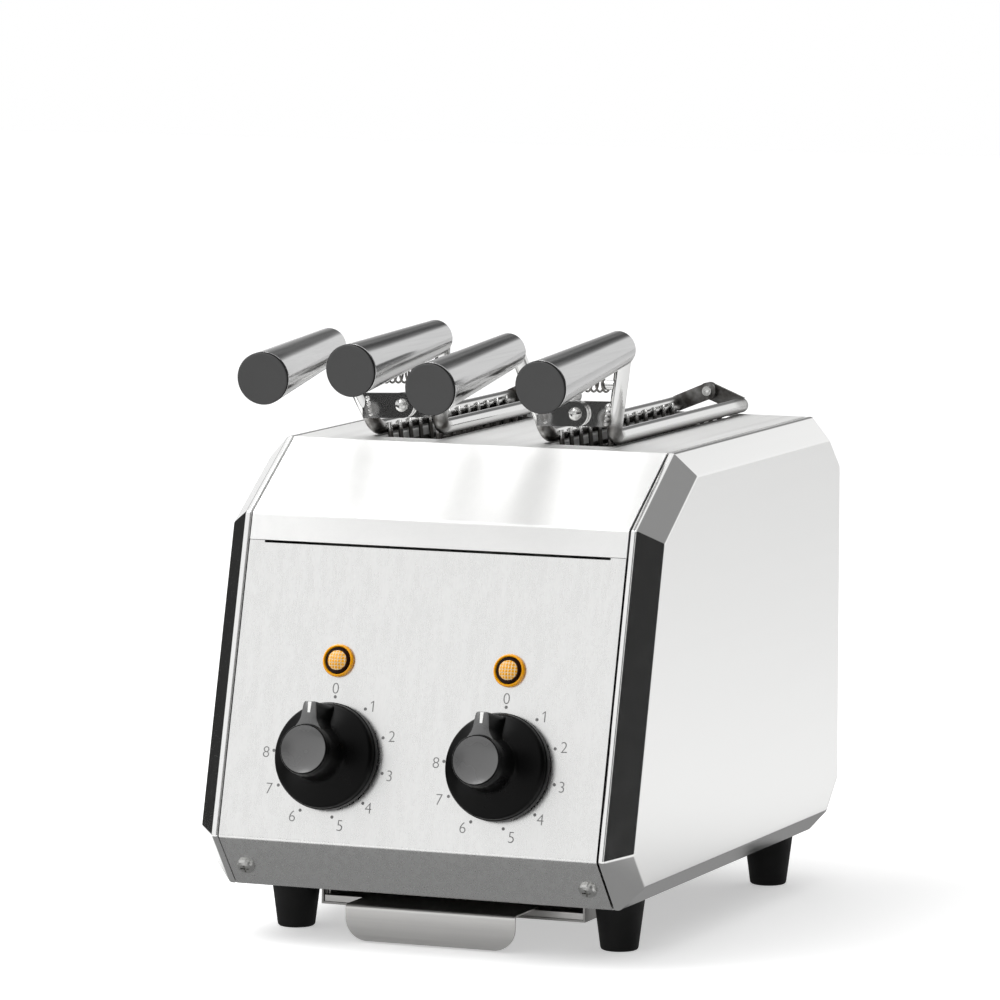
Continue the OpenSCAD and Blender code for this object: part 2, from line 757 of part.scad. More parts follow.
// Heaters: rows of quartz tubes in ceramic end caps
tube_front = front_bulkhead_y - end_cap_l + 3;
tube_rear = rear_bulkhead_y + inner_t + end_cap_l - 3;
module heater(x) {
    color("oldlace") place() for (z = tube_zs()) {
        translate([x, tube_front, z]) rotate([-90, 0, 0]) difference() {
            cylinder(h = tube_rear - tube_front, r = tube_d / 2);
            translate([0, 0, -1]) cylinder(h = tube_rear - tube_front + 2, r = tube_d / 2 - 1.2);
        }
    }
}
module heater_left_outer() {
    heater(-slot_x - heater_off);
}
module heater_left_inner() {
    heater(-slot_x + heater_off);
}
module heater_right_inner() {
    heater(slot_x - heater_off);
}
module heater_right_outer() {
    heater(slot_x + heater_off);
}
module end_cap(y, way) {
    translate([0, 0, y]) rotate([way > 0 ? 0 : 180, 0, 0]) difference() {
        union() {
            cylinder(h = end_cap_l, r = end_cap_d / 2);
            translate([0, 0, end_cap_l - 0.2]) cylinder(h = 5, r = 2);
        }
        translate([0, 0, -1]) cylinder(h = end_cap_l - 2, r = tube_d / 2 + 0.15);
    }
}
module heater_end_caps() {
    color("white") place() tube_places() {
        end_cap(front_bulkhead_y, -1);
        end_cap(rear_bulkhead_y + inner_t, 1);
    }
}

// Guard baskets: a rack of upright wires on each side of a cage and a rack of wires under it
function tong_mid(i) = (i == LEFT ? -slot_x : slot_x) + tong_shift[i];
function cage_lowest(i) =
    hinge_z(i) - cage_depth * cos(tong_lean[i]) - cage_low_x * sin(tong_lean[i]) - cage_edge_d / 2;
module guard_rail(x, z) {
    bar([x, front_bulkhead_y - 2, z], [x, rear_bulkhead_y + inner_t + 2, z], guard_rail_d / 2);
}
module guard_wires_between(a, b) {
    first = slot_front + 4;
    step = (slot_l - 8) / (guard_wires - 1);
    for (k = [0:guard_wires - 1]) {
        y = [0, first + k * step, 0];
        bar(a + y, b + y, guard_wire_d / 2);
    }
}
module guard_basket(s) {
    wire_x = guard_w / 2 + guard_wire_d / 2;
    rest_x = guard_w / 2 - fit - guard_wire_d / 2;
    color("silver") place() translate([s * slot_x, 0, 0]) {
        for (o = [-1, 1]) {
            guard_wires_between([o * wire_x, 0, rest_z], [o * wire_x, 0, rail_zs[0]]);
            for (z = rail_zs) {
                guard_rail(o * rail_x, z);
            }
            guard_rail(o * rest_rail_x, rest_rail_z);
        }
        guard_wires_between([-rest_x, 0, rest_z], [rest_x, 0, rest_z]);
    }
}
module guard_basket_left() {
    guard_basket(-1);
}
module guard_basket_right() {
    guard_basket(1);
}

// Timers: clockwork body behind the panel, with a threaded bush through it
bush_out = 7;
nut_h = 2.6;
module timer(s) {
    color("dimgray") place() on_panel(s * knob_pitch / 2, knob_z) difference() {
        union() {
            translate([-timer_w / 2, -timer_w / 2, -sheet_t - timer_l]) cube([timer_w, timer_w, timer_l]);
            translate([0, 0, -sheet_t - 1]) cylinder(h = bush_out + sheet_t + 1, r = bush_d / 2);
            translate([0, 0, -sheet_t - timer_l - 4]) cylinder(h = 5, r = timer_w * 0.3);
        }
        translate([0, 0, -sheet_t - 20]) cylinder(h = 40, r = shaft_d / 2 + running);
    }
}
module timer_left() {
    timer(-1);
}
module timer_right() {
    timer(1);
}
module timer_nuts() {
    color("silver") place() for (s = [-1, 1]) {
        on_panel(s * knob_pitch / 2, knob_z) difference() {
            cylinder(h = nut_h, r = bush_d / 2 + 3, $fn = 6);
            translate([0, 0, -1]) cylinder(h = nut_h + 2, r = bush_d / 2 + 0.05);
        }
    }
}
shaft_top = knob_h - 9;
shaft_flat = 1;
module shaft_section(extra) {
    difference() {
        circle(shaft_d / 2 + extra);
        translate([shaft_d / 2 - shaft_flat + extra, -shaft_d]) square(2 * shaft_d);
    }
}
module timer_shaft(s) {
    color("silver") place() on_panel(s * knob_pitch / 2, knob_z) {
        translate([0, 0, -sheet_t - 18]) cylinder(h = 18 + sheet_t + bush_out + 1, r = shaft_d / 2);
        translate([0, 0, bush_out]) linear_extrude(shaft_top - bush_out) shaft_section(0);
    }
}
module timer_shaft_left() {
    timer_shaft(-1);
}
module timer_shaft_right() {
    timer_shaft(1);
}
// Knob: skirt with a stepped rim, raised grip with a dished face, pointer fin
knob_gap = 1;
module knob(s) {
    r = knob_d / 2;
    grip_r = knob_grip_d / 2;
    rim_top = knob_gap + knob_rim;
    hub_low = bush_out + knob_gap + 1;
    foot_r = grip_r + 2.2;
    foot_top = rim_top + 5.5;
    face_r = grip_r - 1.2;
    dish = 1.6;
    fin_h = knob_h - 2.4;
    tip = pointer_w / 2;
    flare = [for (k = [0:6]) bow([tip + 1.2, pointer_r * 0.66], [tip + 2, grip_r * 0.98], [grip_r * 0.86, grip_r * 0.5], k / 6)];
    fin = concat([[0, 0]], reversed(flare), [[tip + 0.3, pointer_r - 2], [tip - 0.8, pointer_r]]);
    color([0.08, 0.08, 0.08]) place() on_panel(s * knob_pitch / 2, knob_z) difference() {
        union() {
            rotate_extrude($fn = 72) polygon(concat(
                [[0, hub_low + 6], [0, knob_h - dish]],
                [for (k = [1:5]) [face_r * 0.92 * k / 5, knob_h - dish * (1 - (k / 5) * (k / 5))]],
                [
                    [face_r, knob_h - 0.4], [face_r + 0.2, knob_h - 1.2],
                    [grip_r - 0.5, knob_h - 1.8], [grip_r, knob_h - 2.8],
                    [grip_r + 1, foot_top + 1.5], [foot_r, foot_top],
                    [r - 2.2, rim_top + 0.6], [r - 0.9, rim_top], [r - 0.3, rim_top - 0.8],
                    [r - 0.2, rim_top - 3], [r, rim_top - 3.4],
                    [r, knob_gap], [r - 2.4, knob_gap], [r - 2.6, rim_top - 1.6],
                    [grip_r, hub_low], [0, hub_low]
                ]
            ));
            translate([0, 0, rim_top - 0.5]) linear_extrude(fin_h - rim_top + 0.5) {
                polygon(fin);
                mirror([1, 0]) polygon(fin);
            }
        }
        cylinder(h = hub_low, r = grip_r - 2);
        translate([0, 0, hub_low - 1]) linear_extrude(shaft_top - hub_low + 1.5) shaft_section(running);
    }
}
module knob_left() {
    knob(-1);
}
module knob_right() {
    knob(1);
}

// Pilot lamps: amber lens through the panel, housing behind it
module lamp_lens(s) {
    r = lamp_d / 2;
    barrel_r = lamp_hole_d / 2;
    color("orange") place() on_panel(s * knob_pitch / 2, lamp_z) rotate_extrude() polygon([
        [0, -8], [barrel_r, -8], [barrel_r, 0], [r, 0], [r, 1.4], [r - 0.5, 2],
        [r - 1.2, 2.2], [r - 1.6, 1.6], [r - 2.6, 1.6], [r - 2.8, 2.4],
        [r - 3.6, 3.2], [r - 5.4, 3.7], [0, 3.9]
    ]);
}
module lamp_lens_left() {
    lamp_lens(-1);
}
module lamp_lens_right() {
    lamp_lens(1);
}
module lamp_body(s) {
    barrel_r = lamp_hole_d / 2;
    color("dimgray") place() on_panel(s * knob_pitch / 2, lamp_z) difference() {
        union() {
            translate([0, 0, -sheet_t - 3]) cylinder(h = 3, r = barrel_r + 3);
            translate([0, 0, -sheet_t - 22]) cylinder(h = 20, r = barrel_r + 1);
            for (x = [-3, 3]) {
                translate([x - 1.2, -0.4, -sheet_t - 28]) cube([2.4, 0.8, 7]);
            }
        }
        translate([0, 0, -8.3]) cylinder(h = 12, r = barrel_r + 0.1);
    }
}
module lamp_body_left() {
    lamp_body(-1);
}
module lamp_body_right() {
    lamp_body(1);
}

// Mains side: terminal block on the front bulkhead and the cable gland in the rear panel
terminal_pitch = 15;
terminal_d = 15;
terminal_h = 16;
terminal_z = gland_z - 7;
module terminal_block() {
    w = 3 * terminal_pitch + 3;
    color("ivory") place() translate([0, front_bulkhead_y - terminal_d, terminal_z]) difference() {
        translate([-w / 2, 0, 0]) cube([w, terminal_d, terminal_h]);
        for (x = [-terminal_pitch, 0, terminal_pitch]) {
            translate([x, terminal_d - 6, -1]) cylinder(h = terminal_h + 2, r = 2.5);
            translate([x, -1, terminal_h / 2]) rotate([-90, 0, 0]) cylinder(h = terminal_d - 6, r = 2);
        }
    }
}
module cable_gland() {
    color("black") place() translate([gland_x, rear_y, gland_z]) rotate([-90, 0, 0]) difference() {
        union() {
            translate([0, 0, -sheet_t - 10]) cylinder(h = gland_reach + sheet_t + 6, r = gland_r);
            cylinder(h = 3, r = gland_r + 3);
            translate([0, 0, -sheet_t - 4]) cylinder(h = 4, r = gland_r + 3, $fn = 6);
            cylinder(h = gland_reach, r = gland_r - 1);
        }
        translate([0, 0, -20]) cylinder(h = 40, r = 4.2);
    }
}

// Tongs. Local frame: x from the tong's middle, z from the front hinge, y as the body's
module tong_place(i) {
    place() translate([tong_mid(i), 0, hinge_z(i)]) rotate([0, -tong_lean[i], 0]) children();
}
function side_of(h) = h == LEFT ? -1 : 1;
function handle_way(i, h) =
    let (toe = handle_toe[i][h], drop = handle_drop[i])
    [-side_of(h) * sin(toe) * cos(drop), -cos(toe) * cos(drop), -sin(drop)];
function handle_seat(i, h) =
    [side_of(h) * handle_x + handle_set[i][h].x, handle_y, handle_z + handle_set[i][h].y];
bar_bend_r = 8;
neck = 6.2;
function bar_top(i, h) = handle_seat(i, h) - neck * handle_way(i, h);
function bar_low(h) = [side_of(h) * rod_x, rod_front_y, -rod_drop];
function bar_at(i, h, z) =
    let (a = bar_low(h), b = bar_top(i, h))
    a + (b - a) * (z - a.z) / (b.z - a.z);
hinge_axis = [0, cos(hinge_tilt), -sin(hinge_tilt)];
rivet_mid = hinge_front_y + lug_t + fit / 2;
hinge_point = [0, rivet_mid, 0];
rear_mid = hinge_rear_y + lug_t + fit / 2;
rear_fall = (rear_mid - rivet_mid) * tan(hinge_tilt);
rear_rivet_d = 4.2;
rear_lug_r = 4.4;

// One hinge plate, from its eye at the origin out to a rod at [x, z]
module lug(x, z, r, root) {
    circle(r);
    w = unit([x, z]);
    n = [-w.y, w.x];
    polygon([n * (r - 0.2), [x, z] + n * root, [x, z] - n * root, -n * (r - 0.2)]);
}
module front_lug(i, h) {
    root = bar_at(i, h, 0);
    y = h == LEFT ? hinge_front_y : hinge_front_y + lug_t + fit;
    in_xz(y, lug_t) lug(root.x, 0, lug_r, lug_r);
}
module rear_lug(h) {
    y = h == LEFT ? hinge_rear_y : hinge_rear_y + lug_t + fit;
    in_xz(y, lug_t) translate([0, -rear_fall]) lug(side_of(h) * rod_x, rear_fall - rod_drop, rear_lug_r, rear_lug_r - 0.4);
}
module cage(h) {
    s = side_of(h);
    top_z = -rod_drop + 2;
    wire_r = cage_wire_d / 2;
    edge_r = cage_edge_d / 2;
    lean_in = (cage_top_x - cage_low_x) / (cage_depth + top_z);
    function cage_x(z) = s * (cage_top_x - (top_z - z) * lean_in);
    step = (cage_rear - cage_front) / (cage_wires - 1);
    for (k = [0:cage_wires - 1]) {
        y = cage_front + k * step;
        r = k == 0 || k == cage_wires - 1 ? edge_r * 0.8 : wire_r;
        bar([cage_x(top_z), y, top_z], [cage_x(-cage_depth), y, -cage_depth], r);
    }
    for (z = [-0.3, -0.55, -0.78] * cage_depth) {
        bar([cage_x(z) + s * wire_r, cage_front, z], [cage_x(z) + s * wire_r, cage_rear, z], wire_r);
    }
    bar([cage_x(-cage_depth), cage_front - 1, -cage_depth], [cage_x(-cage_depth), cage_rear + 1, -cage_depth], edge_r);
    for (k = [1:3:cage_wires - 2]) {
        y = cage_front + (k + (h == LEFT ? 0.5 : 0)) * step;
        bar([cage_x(-cage_depth), y, -cage_depth], [s * 1.2, y, -cage_depth], wire_r);
    }
}
function spring_y(i) = (bar_at(i, LEFT, spring_z).y + bar_at(i, RIGHT, spring_z).y) / 2;
module spring_pin(i, h) {
    p = [bar_at(i, h, spring_z).x, spring_y(i), spring_z];
    bar(p, p - [side_of(h) * (rod_d / 2 + 5), 0, 0], spring_d / 2 - spring_wire - 0.5);
}
module tong_frame(i, h) {
    s = side_of(h);
    r = rod_d / 2;
    rear_end = [s * rod_x, rod_rear_y, -rod_drop];
    inside = handle_seat(i, h) + handle_way(i, h) * handle_l * 0.75;
    own = h == RIGHT ? 0 : running;
    color("silver") tong_place(i) difference() {
        union() {
            rod_run([rear_end, bar_low(h), bar_top(i, h), inside], [7, bar_bend_r], r);
            dome(rear_end, [0, 1, 0], r);
            front_lug(i, h);
            rear_lug(h);
            cage(h);
            spring_pin(i, h);
            weld = bar_at(i, h, 0) - [s * r, 2, 0];
            for (z = [-4, -1.5, 1, 3.5]) {
                translate(weld + [s * z * 0.2, 0, z]) sphere(2);
            }
        }
        aim(hinge_point, hinge_axis) cylinder(h = 20, r = rivet_d / 2 + own, center = true);
        aim(hinge_point + hinge_axis * (rear_mid - rivet_mid) / cos(hinge_tilt), hinge_axis)
            cylinder(h = 16, r = rear_rivet_d / 2 + own, center = true);
    }
}
module tong_handle(i, h) {
    rear_r = handle_rear_d / 2;
    front_r = handle_front_d / 2;
    body_l = handle_l - cap_t;
    edge = 2;
    color([0.13, 0.12, 0.12]) tong_place(i) aim(handle_seat(i, h), handle_way(i, h)) difference() {
        rotate_extrude($fn = 64) polygon(concat(
            [[0, 0]],
            [for (a = [0:15:90]) [rear_r - edge + edge * sin(a), edge - edge * cos(a)]],
            [[front_r, body_l], [0, body_l]]
        ));
        translate([0, 0, -1]) cylinder(h = handle_l * 0.75 + 1.4, r = rod_d / 2 + 0.05);
        translate([0, 0, body_l - 7]) cylinder(h = 8, r = front_r * 0.6);
    }
}
module tong_cap(i, h) {
    r = cap_r;
    color([0.3, 0.3, 0.3]) tong_place(i) aim(handle_seat(i, h), handle_way(i, h)) {
        translate([0, 0, handle_l - cap_t]) rotate_extrude($fn = 64) polygon([
            [0, 0], [r - cap_edge, 0], [r - cap_edge, 0.5], [r, cap_edge], [r, cap_t - cap_edge],
            [r - 0.2, cap_t - 0.2], [r - cap_edge, cap_t], [0, cap_t]
        ]);
        translate([0, 0, handle_l - cap_t - 6]) cylinder(h = 6.2, r = handle_front_d * 0.3 - 0.1);
    }
}
module front_rivet(i) {
    stack = lug_t + fit / 2;
    color("silver") tong_place(i) aim(hinge_point, hinge_axis) {
        cylinder(h = 2 * stack, r = rivet_d / 2, center = true);
        for (m = [0, 1]) {
            mirror([0, 0, m]) translate([0, 0, stack + 0.25]) rotate_extrude() polygon([
                [0, -0.5], [rivet_d / 2, -0.5], [rivet_d / 2, 0], [3.2, 0], [3.1, 0.7], [2.6, 1.4], [1.6, 2], [0, 2.2]
            ]);
        }
    }
}
module rear_rivet(i) {
    stack = lug_t + fit / 2;
    r = rear_rivet_d / 2;
    color("silver") tong_place(i)
        aim(hinge_point + hinge_axis * (rear_mid - rivet_mid) / cos(hinge_tilt), hinge_axis) difference() {
            union() {
                cylinder(h = 2 * stack + 0.6, r = r, center = true);
                for (m = [0, 1]) {
                    mirror([0, 0, m]) translate([0, 0, stack + 0.2]) cylinder(h = 0.7, r = r + 0.4);
                }
            }
            cylinder(h = 20, r = r - 1, center = true);
        }
}

// Hinge spring: one helix between the bars of a tong
spring_rings = 8;
spring_sides = 6;
spring_steps = spring_rings * spring_turns;
function spring_end(i, h) =
    bar_at(i, h, spring_z - spring_d / 2).x - side_of(h) * (rod_d / 2 * 1.15 + 2 * fit + spring_wire / 2);
function coil_point(i, k) =
    let (a = 360 * k / spring_rings, r = (spring_d - spring_wire) / 2, x0 = spring_end(i, LEFT))
    [
        x0 + (spring_end(i, RIGHT) - x0) * k / spring_steps,
        spring_y(i) + r * cos(a),
        spring_z + r * sin(a)
    ];
function coil(i) = [for (k = [0:spring_steps]) coil_point(i, k)];
function coil_gap(c) = min([
    for (k = [0:spring_rings * 2])
        for (m = [k + spring_rings / 2:k + spring_rings * 2]) norm(c[m] - c[k])
]) - spring_wire;
echo(spring_gap = min([for (i = [LEFT, RIGHT]) coil_gap(coil(i))]));
module tong_spring(i) {
    r = spring_wire / 2;
    c = coil(i);
    n = len(c);
    centre = [0, spring_y(i), spring_z];
    points = [
        for (k = [0:n - 1])
            let (
                t = unit(c[min(k + 1, n - 1)] - c[max(k - 1, 0)]),
                spoke = [0, c[k].y - centre.y, c[k].z - centre.z],
                out = unit(spoke - (spoke * t) * t),
                side = cross(t, out)
            )
            for (j = [0:spring_sides - 1])
                c[k] + r * (out * cos(360 * j / spring_sides) + side * sin(360 * j / spring_sides))
    ];
    skins = [
        for (k = [0:n - 2])
            for (j = [0:spring_sides - 1])
                let (a = k * spring_sides + j, b = k * spring_sides + (j + 1) % spring_sides)
                each [[a, a + spring_sides, b], [b, a + spring_sides, b + spring_sides]]
    ];
    last = (n - 1) * spring_sides;
    ends = [
        [for (j = [0:spring_sides - 1]) j],
        [for (j = [spring_sides - 1:-1:0]) last + j]
    ];
    color("gray") tong_place(i) polyhedron(points, concat(skins, ends));
}

module tong_left_frame_left() {
    tong_frame(LEFT, LEFT);
}
module tong_left_frame_right() {
    tong_frame(LEFT, RIGHT);
}
module tong_right_frame_left() {
    tong_frame(RIGHT, LEFT);
}
module tong_right_frame_right() {
    tong_frame(RIGHT, RIGHT);
}

side_shell_left();
side_shell_right();
top_cover();
front_panel();
rear_panel();
base_plate();
foot_front_left();
foot_front_right();
foot_rear_left();
foot_rear_right();
foot_screws();
foot_nuts();
front_panel_screws();
rear_panel_screws();
side_shell_screws();
tray_guide();
crumb_tray();
front_bulkhead();
rear_bulkhead();
heat_shield_left();
heat_shield_centre();
heat_shield_right();
heater_left_outer();
heater_left_inner();
heater_right_inner();
heater_right_outer();
heater_end_caps();
guard_basket_left();
guard_basket_right();
timer_left();
timer_right();
timer_shaft_left();
timer_shaft_right();
timer_nuts();
knob_left();
knob_right();
lamp_lens_left();
lamp_lens_right();
lamp_body_left();
lamp_body_right();
terminal_block();
cable_gland();
tong_left_frame_left();
tong_left_frame_right();
tong_handle(LEFT, LEFT);  // tong_left_handle_left
tong_handle(LEFT, RIGHT);  // tong_left_handle_right
tong_cap(LEFT, LEFT);  // tong_left_cap_left
tong_cap(LEFT, RIGHT);  // tong_left_cap_right
front_rivet(LEFT);  // tong_left_front_rivet
rear_rivet(LEFT);  // tong_left_rear_rivet
tong_spring(LEFT);  // tong_left_spring
tong_right_frame_left();
tong_right_frame_right();
tong_handle(RIGHT, LEFT);  // tong_right_handle_left
tong_handle(RIGHT, RIGHT);  // tong_right_handle_right
tong_cap(RIGHT, LEFT);  // tong_right_cap_left
tong_cap(RIGHT, RIGHT);  // tong_right_cap_right
front_rivet(RIGHT);  // tong_right_front_rivet
rear_rivet(RIGHT);  // tong_right_rear_rivet
tong_spring(RIGHT);  // tong_right_spring
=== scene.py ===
from math import radians, sin, cos, tan, atan2, pi, sqrt, acos

import bmesh
import bpy
from mathutils import Matrix, Vector


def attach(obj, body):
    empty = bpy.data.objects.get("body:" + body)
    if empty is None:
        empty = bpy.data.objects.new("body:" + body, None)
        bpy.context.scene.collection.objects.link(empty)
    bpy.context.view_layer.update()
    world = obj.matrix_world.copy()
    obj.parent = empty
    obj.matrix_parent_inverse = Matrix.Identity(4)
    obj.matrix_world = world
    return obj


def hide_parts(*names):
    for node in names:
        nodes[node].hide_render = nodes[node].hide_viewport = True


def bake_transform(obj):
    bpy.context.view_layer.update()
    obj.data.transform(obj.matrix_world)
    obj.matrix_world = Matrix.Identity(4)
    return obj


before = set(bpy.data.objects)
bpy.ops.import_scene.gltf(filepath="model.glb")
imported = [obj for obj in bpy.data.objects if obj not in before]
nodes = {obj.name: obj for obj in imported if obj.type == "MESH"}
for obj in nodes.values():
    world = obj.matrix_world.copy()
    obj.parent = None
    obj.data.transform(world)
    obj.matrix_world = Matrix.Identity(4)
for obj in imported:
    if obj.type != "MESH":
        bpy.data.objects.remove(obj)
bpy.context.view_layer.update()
print("frame loaded:", len(nodes), "nodes")


# Small helpers. Lengths are in millimetres until they become a mesh

frameShift = 8.45991                     # the body's middle lies this far behind the origin
signs = {"left": -1, "right": 1}


def linear(hexText):
    parts = [int(hexText[i:i + 2], 16) / 255 for i in (1, 3, 5)]
    return tuple(c / 12.92 if c <= 0.04045 else ((c + 0.055) / 1.055) ** 2.4 for c in parts) + (1.0,)


def addNode(tree, kind, links=None, **settings):
    node = tree.nodes.new(kind)
    for key, value in settings.items():
        setattr(node, key, value)
    for socket, value in (links or {}).items():
        target = node.inputs[socket]
        if isinstance(value, bpy.types.NodeSocket):
            tree.links.new(value, target)
        else:
            target.default_value = value
    return node


def newMaterial(name):
    material = bpy.data.materials.new(name)
    material.use_nodes = True
    tree = material.node_tree
    tree.nodes.clear()
    output = tree.nodes.new("ShaderNodeOutputMaterial")
    return material, tree, output


# Camera

cameraView = {
    "place": (1258.149, -3081.901 + frameShift, 575.642),
    "right": (0.92408818, 0.38216821, 0.00291597),
    "up": (-0.04504872, 0.10134544, 0.99383083),
    "back": (0.37951503, -0.91851868, 0.11086831),
    "lens": 243.6565,                    # on a 36 mm wide sensor
}


def makeCamera(view):
    data = bpy.data.cameras.new("camera")
    data.sensor_fit = "HORIZONTAL"
    data.sensor_width = 36
    data.lens = view["lens"]
    data.clip_start, data.clip_end = 0.5, 60
    camera = bpy.data.objects.new("camera", data)
    bpy.context.scene.collection.objects.link(camera)
    turn = Matrix([view["right"], view["up"], view["back"]]).transposed()
    camera.matrix_world = Matrix.Translation(Vector(view["place"]) / 1000) @ turn.to_4x4()
    bpy.context.scene.camera = camera


makeCamera(cameraView)
bpy.context.scene.view_settings.view_transform = "Standard"
print("camera set")


# Light: a white room with dark cards that the steel's edges pick up

room = {
    "sky": 1.0,
    "cards": [               # direction, half angle and soft edge in degrees, what is left of the light
        ((0.916, -0.334, 0.22), 32, 12, 0.03),
        ((-0.916, 0.40, 0.03), 21, 8, 0.03),
        ((0.595, 0.386, 0.705), 16, 14, 0.30),
        ((-0.02, 0.89, 0.53), 5, 8, 0.3),
        ((-0.29, 0.93, 0.22), 5, 9, 0.4),
        ((-0.179, 0.902, 0.469), 5, 12, 0.3),
        ((0.10, -0.93, 0.35), 5, 11, 0.10),
    ],
}
softBox = {"place": (-0.9, -0.5, 1.9), "target": (0, 0, 0.15), "size": (1.4, 1.4), "power": 26}


def makeWorld(settings):
    world = bpy.data.worlds.new("room")
    bpy.context.scene.world = world
    world.use_nodes = True
    tree = world.node_tree
    tree.nodes.clear()
    output = tree.nodes.new("ShaderNodeOutputWorld")
    way = addNode(tree, "ShaderNodeTexCoord").outputs["Generated"]
    light = settings["sky"]
    for direction, inner, soft, left in settings["cards"]:
        aim = Vector(direction).normalized()
        dot = addNode(tree, "ShaderNodeVectorMath", {0: way, 1: aim}, operation="DOT_PRODUCT")
        fade = addNode(tree, "ShaderNodeMapRange", {
            "Value": dot.outputs["Value"], "From Min": cos(radians(inner)),
            "From Max": cos(radians(inner + soft)), "To Min": left, "To Max": 1.0},
            interpolation_type="SMOOTHSTEP")
        light = addNode(tree, "ShaderNodeMath", {0: light, 1: fade.outputs["Result"]},
                        operation="MULTIPLY").outputs[0]
    paths = addNode(tree, "ShaderNodeLightPath")
    plain = addNode(tree, "ShaderNodeBackground", {"Color": linear("#ffffff"), "Strength": 1.0})
    lit = addNode(tree, "ShaderNodeBackground", {"Color": linear("#ffffff"), "Strength": light})
    both = addNode(tree, "ShaderNodeMixShader", {
        0: paths.outputs["Is Camera Ray"], 1: lit.outputs[0], 2: plain.outputs[0]})
    tree.links.new(both.outputs[0], output.inputs["Surface"])


def makeSoftBox(settings):
    data = bpy.data.lights.new("softBoxOver", "AREA")
    data.shape = "RECTANGLE"
    data.size, data.size_y = settings["size"]
    data.energy = settings["power"]
    box = bpy.data.objects.new("softBoxOver", data)
    bpy.context.scene.collection.objects.link(box)
    way = Vector(settings["target"]) - Vector(settings["place"])
    box.location = settings["place"]
    box.rotation_euler = way.to_track_quat("-Z", "Y").to_euler()


makeWorld(room)
makeSoftBox(softBox)
print("light set")


# Materials

def brushedStainless(name, hexText, grainAxis, roughness=0.3, grain=0.12, streak=0.02):
    # AISI 304 sheet with a belt grain: long soft streaks one way, a wide soft glow across them
    material, tree, output = newMaterial(name)
    place = addNode(tree, "ShaderNodeTexCoord").outputs["Object"]
    # a real belt line is about 0.08 mm wide; 0.8 mm is the finest that shows here
    values = []
    for across, along in ((0.8, 70), (3.5, 240)):
        scale = [1000 / across] * 3
        scale[grainAxis] = 1000 / along
        stretched = addNode(tree, "ShaderNodeMapping", {"Vector": place, "Scale": scale})
        noise = addNode(tree, "ShaderNodeTexNoise", {
            "Vector": stretched.outputs[0], "Scale": 1.0, "Detail": 0.0})
        values.append(noise.outputs["Fac"])
    mixed = addNode(tree, "ShaderNodeMath", {0: values[0], 1: values[1]}, operation="ADD").outputs[0]
    level = addNode(tree, "ShaderNodeMapRange", {
        "Value": mixed, "From Min": 0.7, "From Max": 1.3}).outputs["Result"]
    base = linear(hexText)
    dark = tuple(c * (1 - streak * 2) for c in base[:3]) + (1,)
    tint = addNode(tree, "ShaderNodeMix", {"Factor": level, "A": dark, "B": base}, data_type="RGBA")
    rough = addNode(tree, "ShaderNodeMapRange", {
        "Value": level, "To Min": roughness * 0.9, "To Max": roughness * 1.1}).outputs["Result"]
    bump = addNode(tree, "ShaderNodeBump", {"Strength": grain, "Distance": 0.00001, "Height": level})
    shader = addNode(tree, "ShaderNodeBsdfPrincipled", {
        "Base Color": tint.outputs["Result"], "Metallic": 1.0, "Roughness": rough, "Normal": bump.outputs[0]})
    tree.links.new(shader.outputs[0], output.inputs["Surface"])
    return material


def plainMetal(name, hexText, roughness, spot=0.15, spotSize=4.0, bumpHeight=0.00001):
    # plated or polished metal: clean highlights with faint handling marks
    material, tree, output = newMaterial(name)
    place = addNode(tree, "ShaderNodeTexCoord").outputs["Object"]
    noise = addNode(tree, "ShaderNodeTexNoise", {"Vector": place, "Scale": 1000 / spotSize, "Detail": 4.0})
    rough = addNode(tree, "ShaderNodeMapRange", {
        "Value": noise.outputs["Fac"], "From Min": 0.3, "From Max": 0.7,
        "To Min": roughness * (1 - spot), "To Max": roughness * (1 + spot)}).outputs["Result"]
    bump = addNode(tree, "ShaderNodeBump", {
        "Strength": 0.3, "Distance": bumpHeight, "Height": noise.outputs["Fac"]})
    shader = addNode(tree, "ShaderNodeBsdfPrincipled", {
        "Base Color": linear(hexText), "Metallic": 1.0, "Roughness": rough, "Normal": bump.outputs[0]})
    tree.links.new(shader.outputs[0], output.inputs["Surface"])
    return material


def mouldedPlastic(name, hexText, roughness, grit=0.4, depth=0.00002, coat=0.0, gloss=0.5):
    # moulded thermoset or ABS: fine spark-eroded grit, soft sheen
    material, tree, output = newMaterial(name)
    place = addNode(tree, "ShaderNodeTexCoord").outputs["Object"]
    noise = addNode(tree, "ShaderNodeTexNoise", {"Vector": place, "Scale": 1000 / grit, "Detail": 2.0})
    cloud = addNode(tree, "ShaderNodeTexNoise", {"Vector": place, "Scale": 1000 / 12, "Detail": 2.0})
    rough = addNode(tree, "ShaderNodeMapRange", {
        "Value": cloud.outputs["Fac"], "From Min": 0.3, "From Max": 0.7,
        "To Min": roughness * 0.88, "To Max": roughness * 1.12}).outputs["Result"]
    bump = addNode(tree, "ShaderNodeBump", {
        "Strength": 0.25, "Distance": depth, "Height": noise.outputs["Fac"]})
    shader = addNode(tree, "ShaderNodeBsdfPrincipled", {
        "Base Color": linear(hexText), "Roughness": rough, "IOR": 1.5, "Normal": bump.outputs[0],
        "Specular IOR Level": gloss, "Coat Weight": coat, "Coat Roughness": 0.08})
    tree.links.new(shader.outputs[0], output.inputs["Surface"])
    return material


